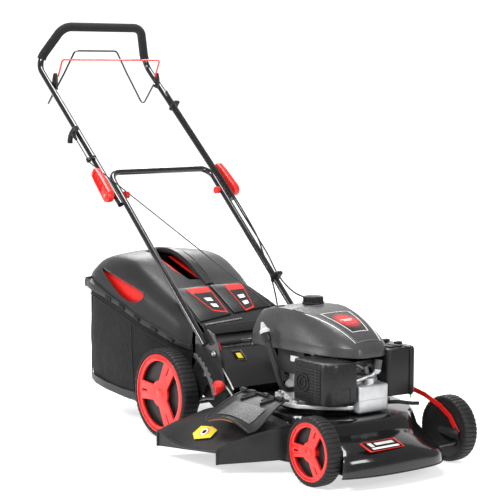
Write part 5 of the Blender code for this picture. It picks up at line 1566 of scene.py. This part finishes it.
def build_bail_parts():
    """The bails' brackets, the starter grip, and the clips that hold the cables to the tubes."""
    outline = [(1.337, 0.99), (1.364, 0.996), (1.364, 1.02), (1.357, 1.041), (1.343, 1.043), (1.337, 1.024)]
    for side, name in ((-1, "right"), (1, "left")):
        bracket = plate([outline], 0.0066, standing(side * 0.1925), 0.0014)
        boss = lathe([(0.0, -0.005), (0.007, -0.005), (0.007, 0.0046), (0.0, 0.005)],
                     (side * 0.1925, 1.351, 1.008), (side, 0, 0), 28)
        add("bail_plate_" + name, joined([bracket, boss]), "black_plastic", "upper_frame",
            replaces=["bail_bracket_" + name])
    centre = on_tube(0.27, ROPE_X - 0.002)
    bow = [centre + TUBE_UP * up + TUBE_RUN * run
           for up, run in ((-0.031, -0.006), (-0.02, 0.002), (0.0, 0.006), (0.02, 0.002), (0.031, -0.006))]
    neck = lathe([(0.0, 0.0), (0.004, 0.0), (0.0052, 0.01), (0.0075, 0.024), (0.0, 0.024)],
                 on_tube(0.247, ROPE_X), TUBE_RUN, 28)
    add("starter_handle", joined([tube(smooth(bow, 8), 0.0082, 9), neck]), "black_plastic", "pull_grip",
        replaces=["starter_grip"])
    clip = turned(box((0.1935, -0.0118, 0.381), (0.2195, 0.027, 0.393), 0.004, 3), ALONG_TUBE)
    low = box((0.174, -0.0062, -0.0118), (0.199, 0.0062, 0.03), 0.004, 3)
    run = Vector((0, 0.5003, 0.4579)).normalized()
    low.transform(Matrix(((1, 0, 0, 0), (0, run.y, -run.z, 0.705), (0, run.z, run.y, 0.4297), (0, 0, 0, 1))))
    add("cable_clip_upper", clip, "black_plastic", "upper_frame")
    add("cable_clip_lower", low, "black_plastic", "chassis")


# Control cables, down the left leg from the bails.
CABLE_DIAMETER = 0.0048
BRAKE_CABLE = [on_tube(0.44, 0.196, 0.017), on_tube(0.38, 0.1965, 0.016), on_tube(0.2, 0.197, 0.015),
               on_tube(0.08, 0.197, 0.015), on_tube(0.000, 0.197, 0.015), Vector((0.195, 0.88, 0.612)),
               Vector((0.1935, 0.76, 0.506)), Vector((0.179, 0.68, 0.442)), Vector((0.1725, 0.6, 0.402)),
               Vector((0.1715, 0.515, 0.388)), Vector((0.162, 0.455, 0.378)), Vector((0.136, 0.415, 0.342)),
               Vector((0.1, 0.39, 0.29))]
DRIVE_CABLE = [on_tube(0.44, 0.196, 0.0245), on_tube(0.38, 0.1965, 0.0225), on_tube(0.2, 0.197, 0.0212),
               on_tube(0.08, 0.197, 0.0212), on_tube(0.000, 0.197, 0.0212), Vector((0.195, 0.8765, 0.619)),
               Vector((0.189, 0.8, 0.55)), Vector((0.1735, 0.745, 0.495)), Vector((0.1718, 0.7, 0.42)),
               Vector((0.1712, 0.672, 0.34)), Vector((0.166, 0.655, 0.26)), Vector((0.145, 0.64, 0.18))]


def build_cords():
    cords = [("cable_brake", "brake_cable", BRAKE_CABLE, 1.191),
             ("cable_drive", "drive_cable", DRIVE_CABLE, 1.08)]
    for name, node, points, length in cords:
        route = smooth(points, 6)
        cord = add(name, tube(route, CABLE_DIAMETER / 2, 6), "cord_black", "chassis", replaces=[node])


stage_and_camera()
for wheel, wheel_side, wheel_turn in (("front_right", -1, 4), ("front_left", 1, 10), ("rear_right", -1, 0),
                                      ("rear_left", 1, 40)):
    build_wheel(wheel, "wheel_" + wheel, wheel_side, wheel_turn)
build_handle()
build_deck()
build_cover()
build_engine()
build_bag()
build_rear_flap()
build_side_flap()
build_chute()
build_knob()
build_clamps()
build_bail_parts()
build_cords()

for node, piece in frame["nodes"].items():
    slot_name = next(s["material_slot"] for s in frame["record"]["subparts"] if s["node"] == node)
    piece.data.materials.clear()
    piece.data.materials.append(MATERIALS[slot_name])
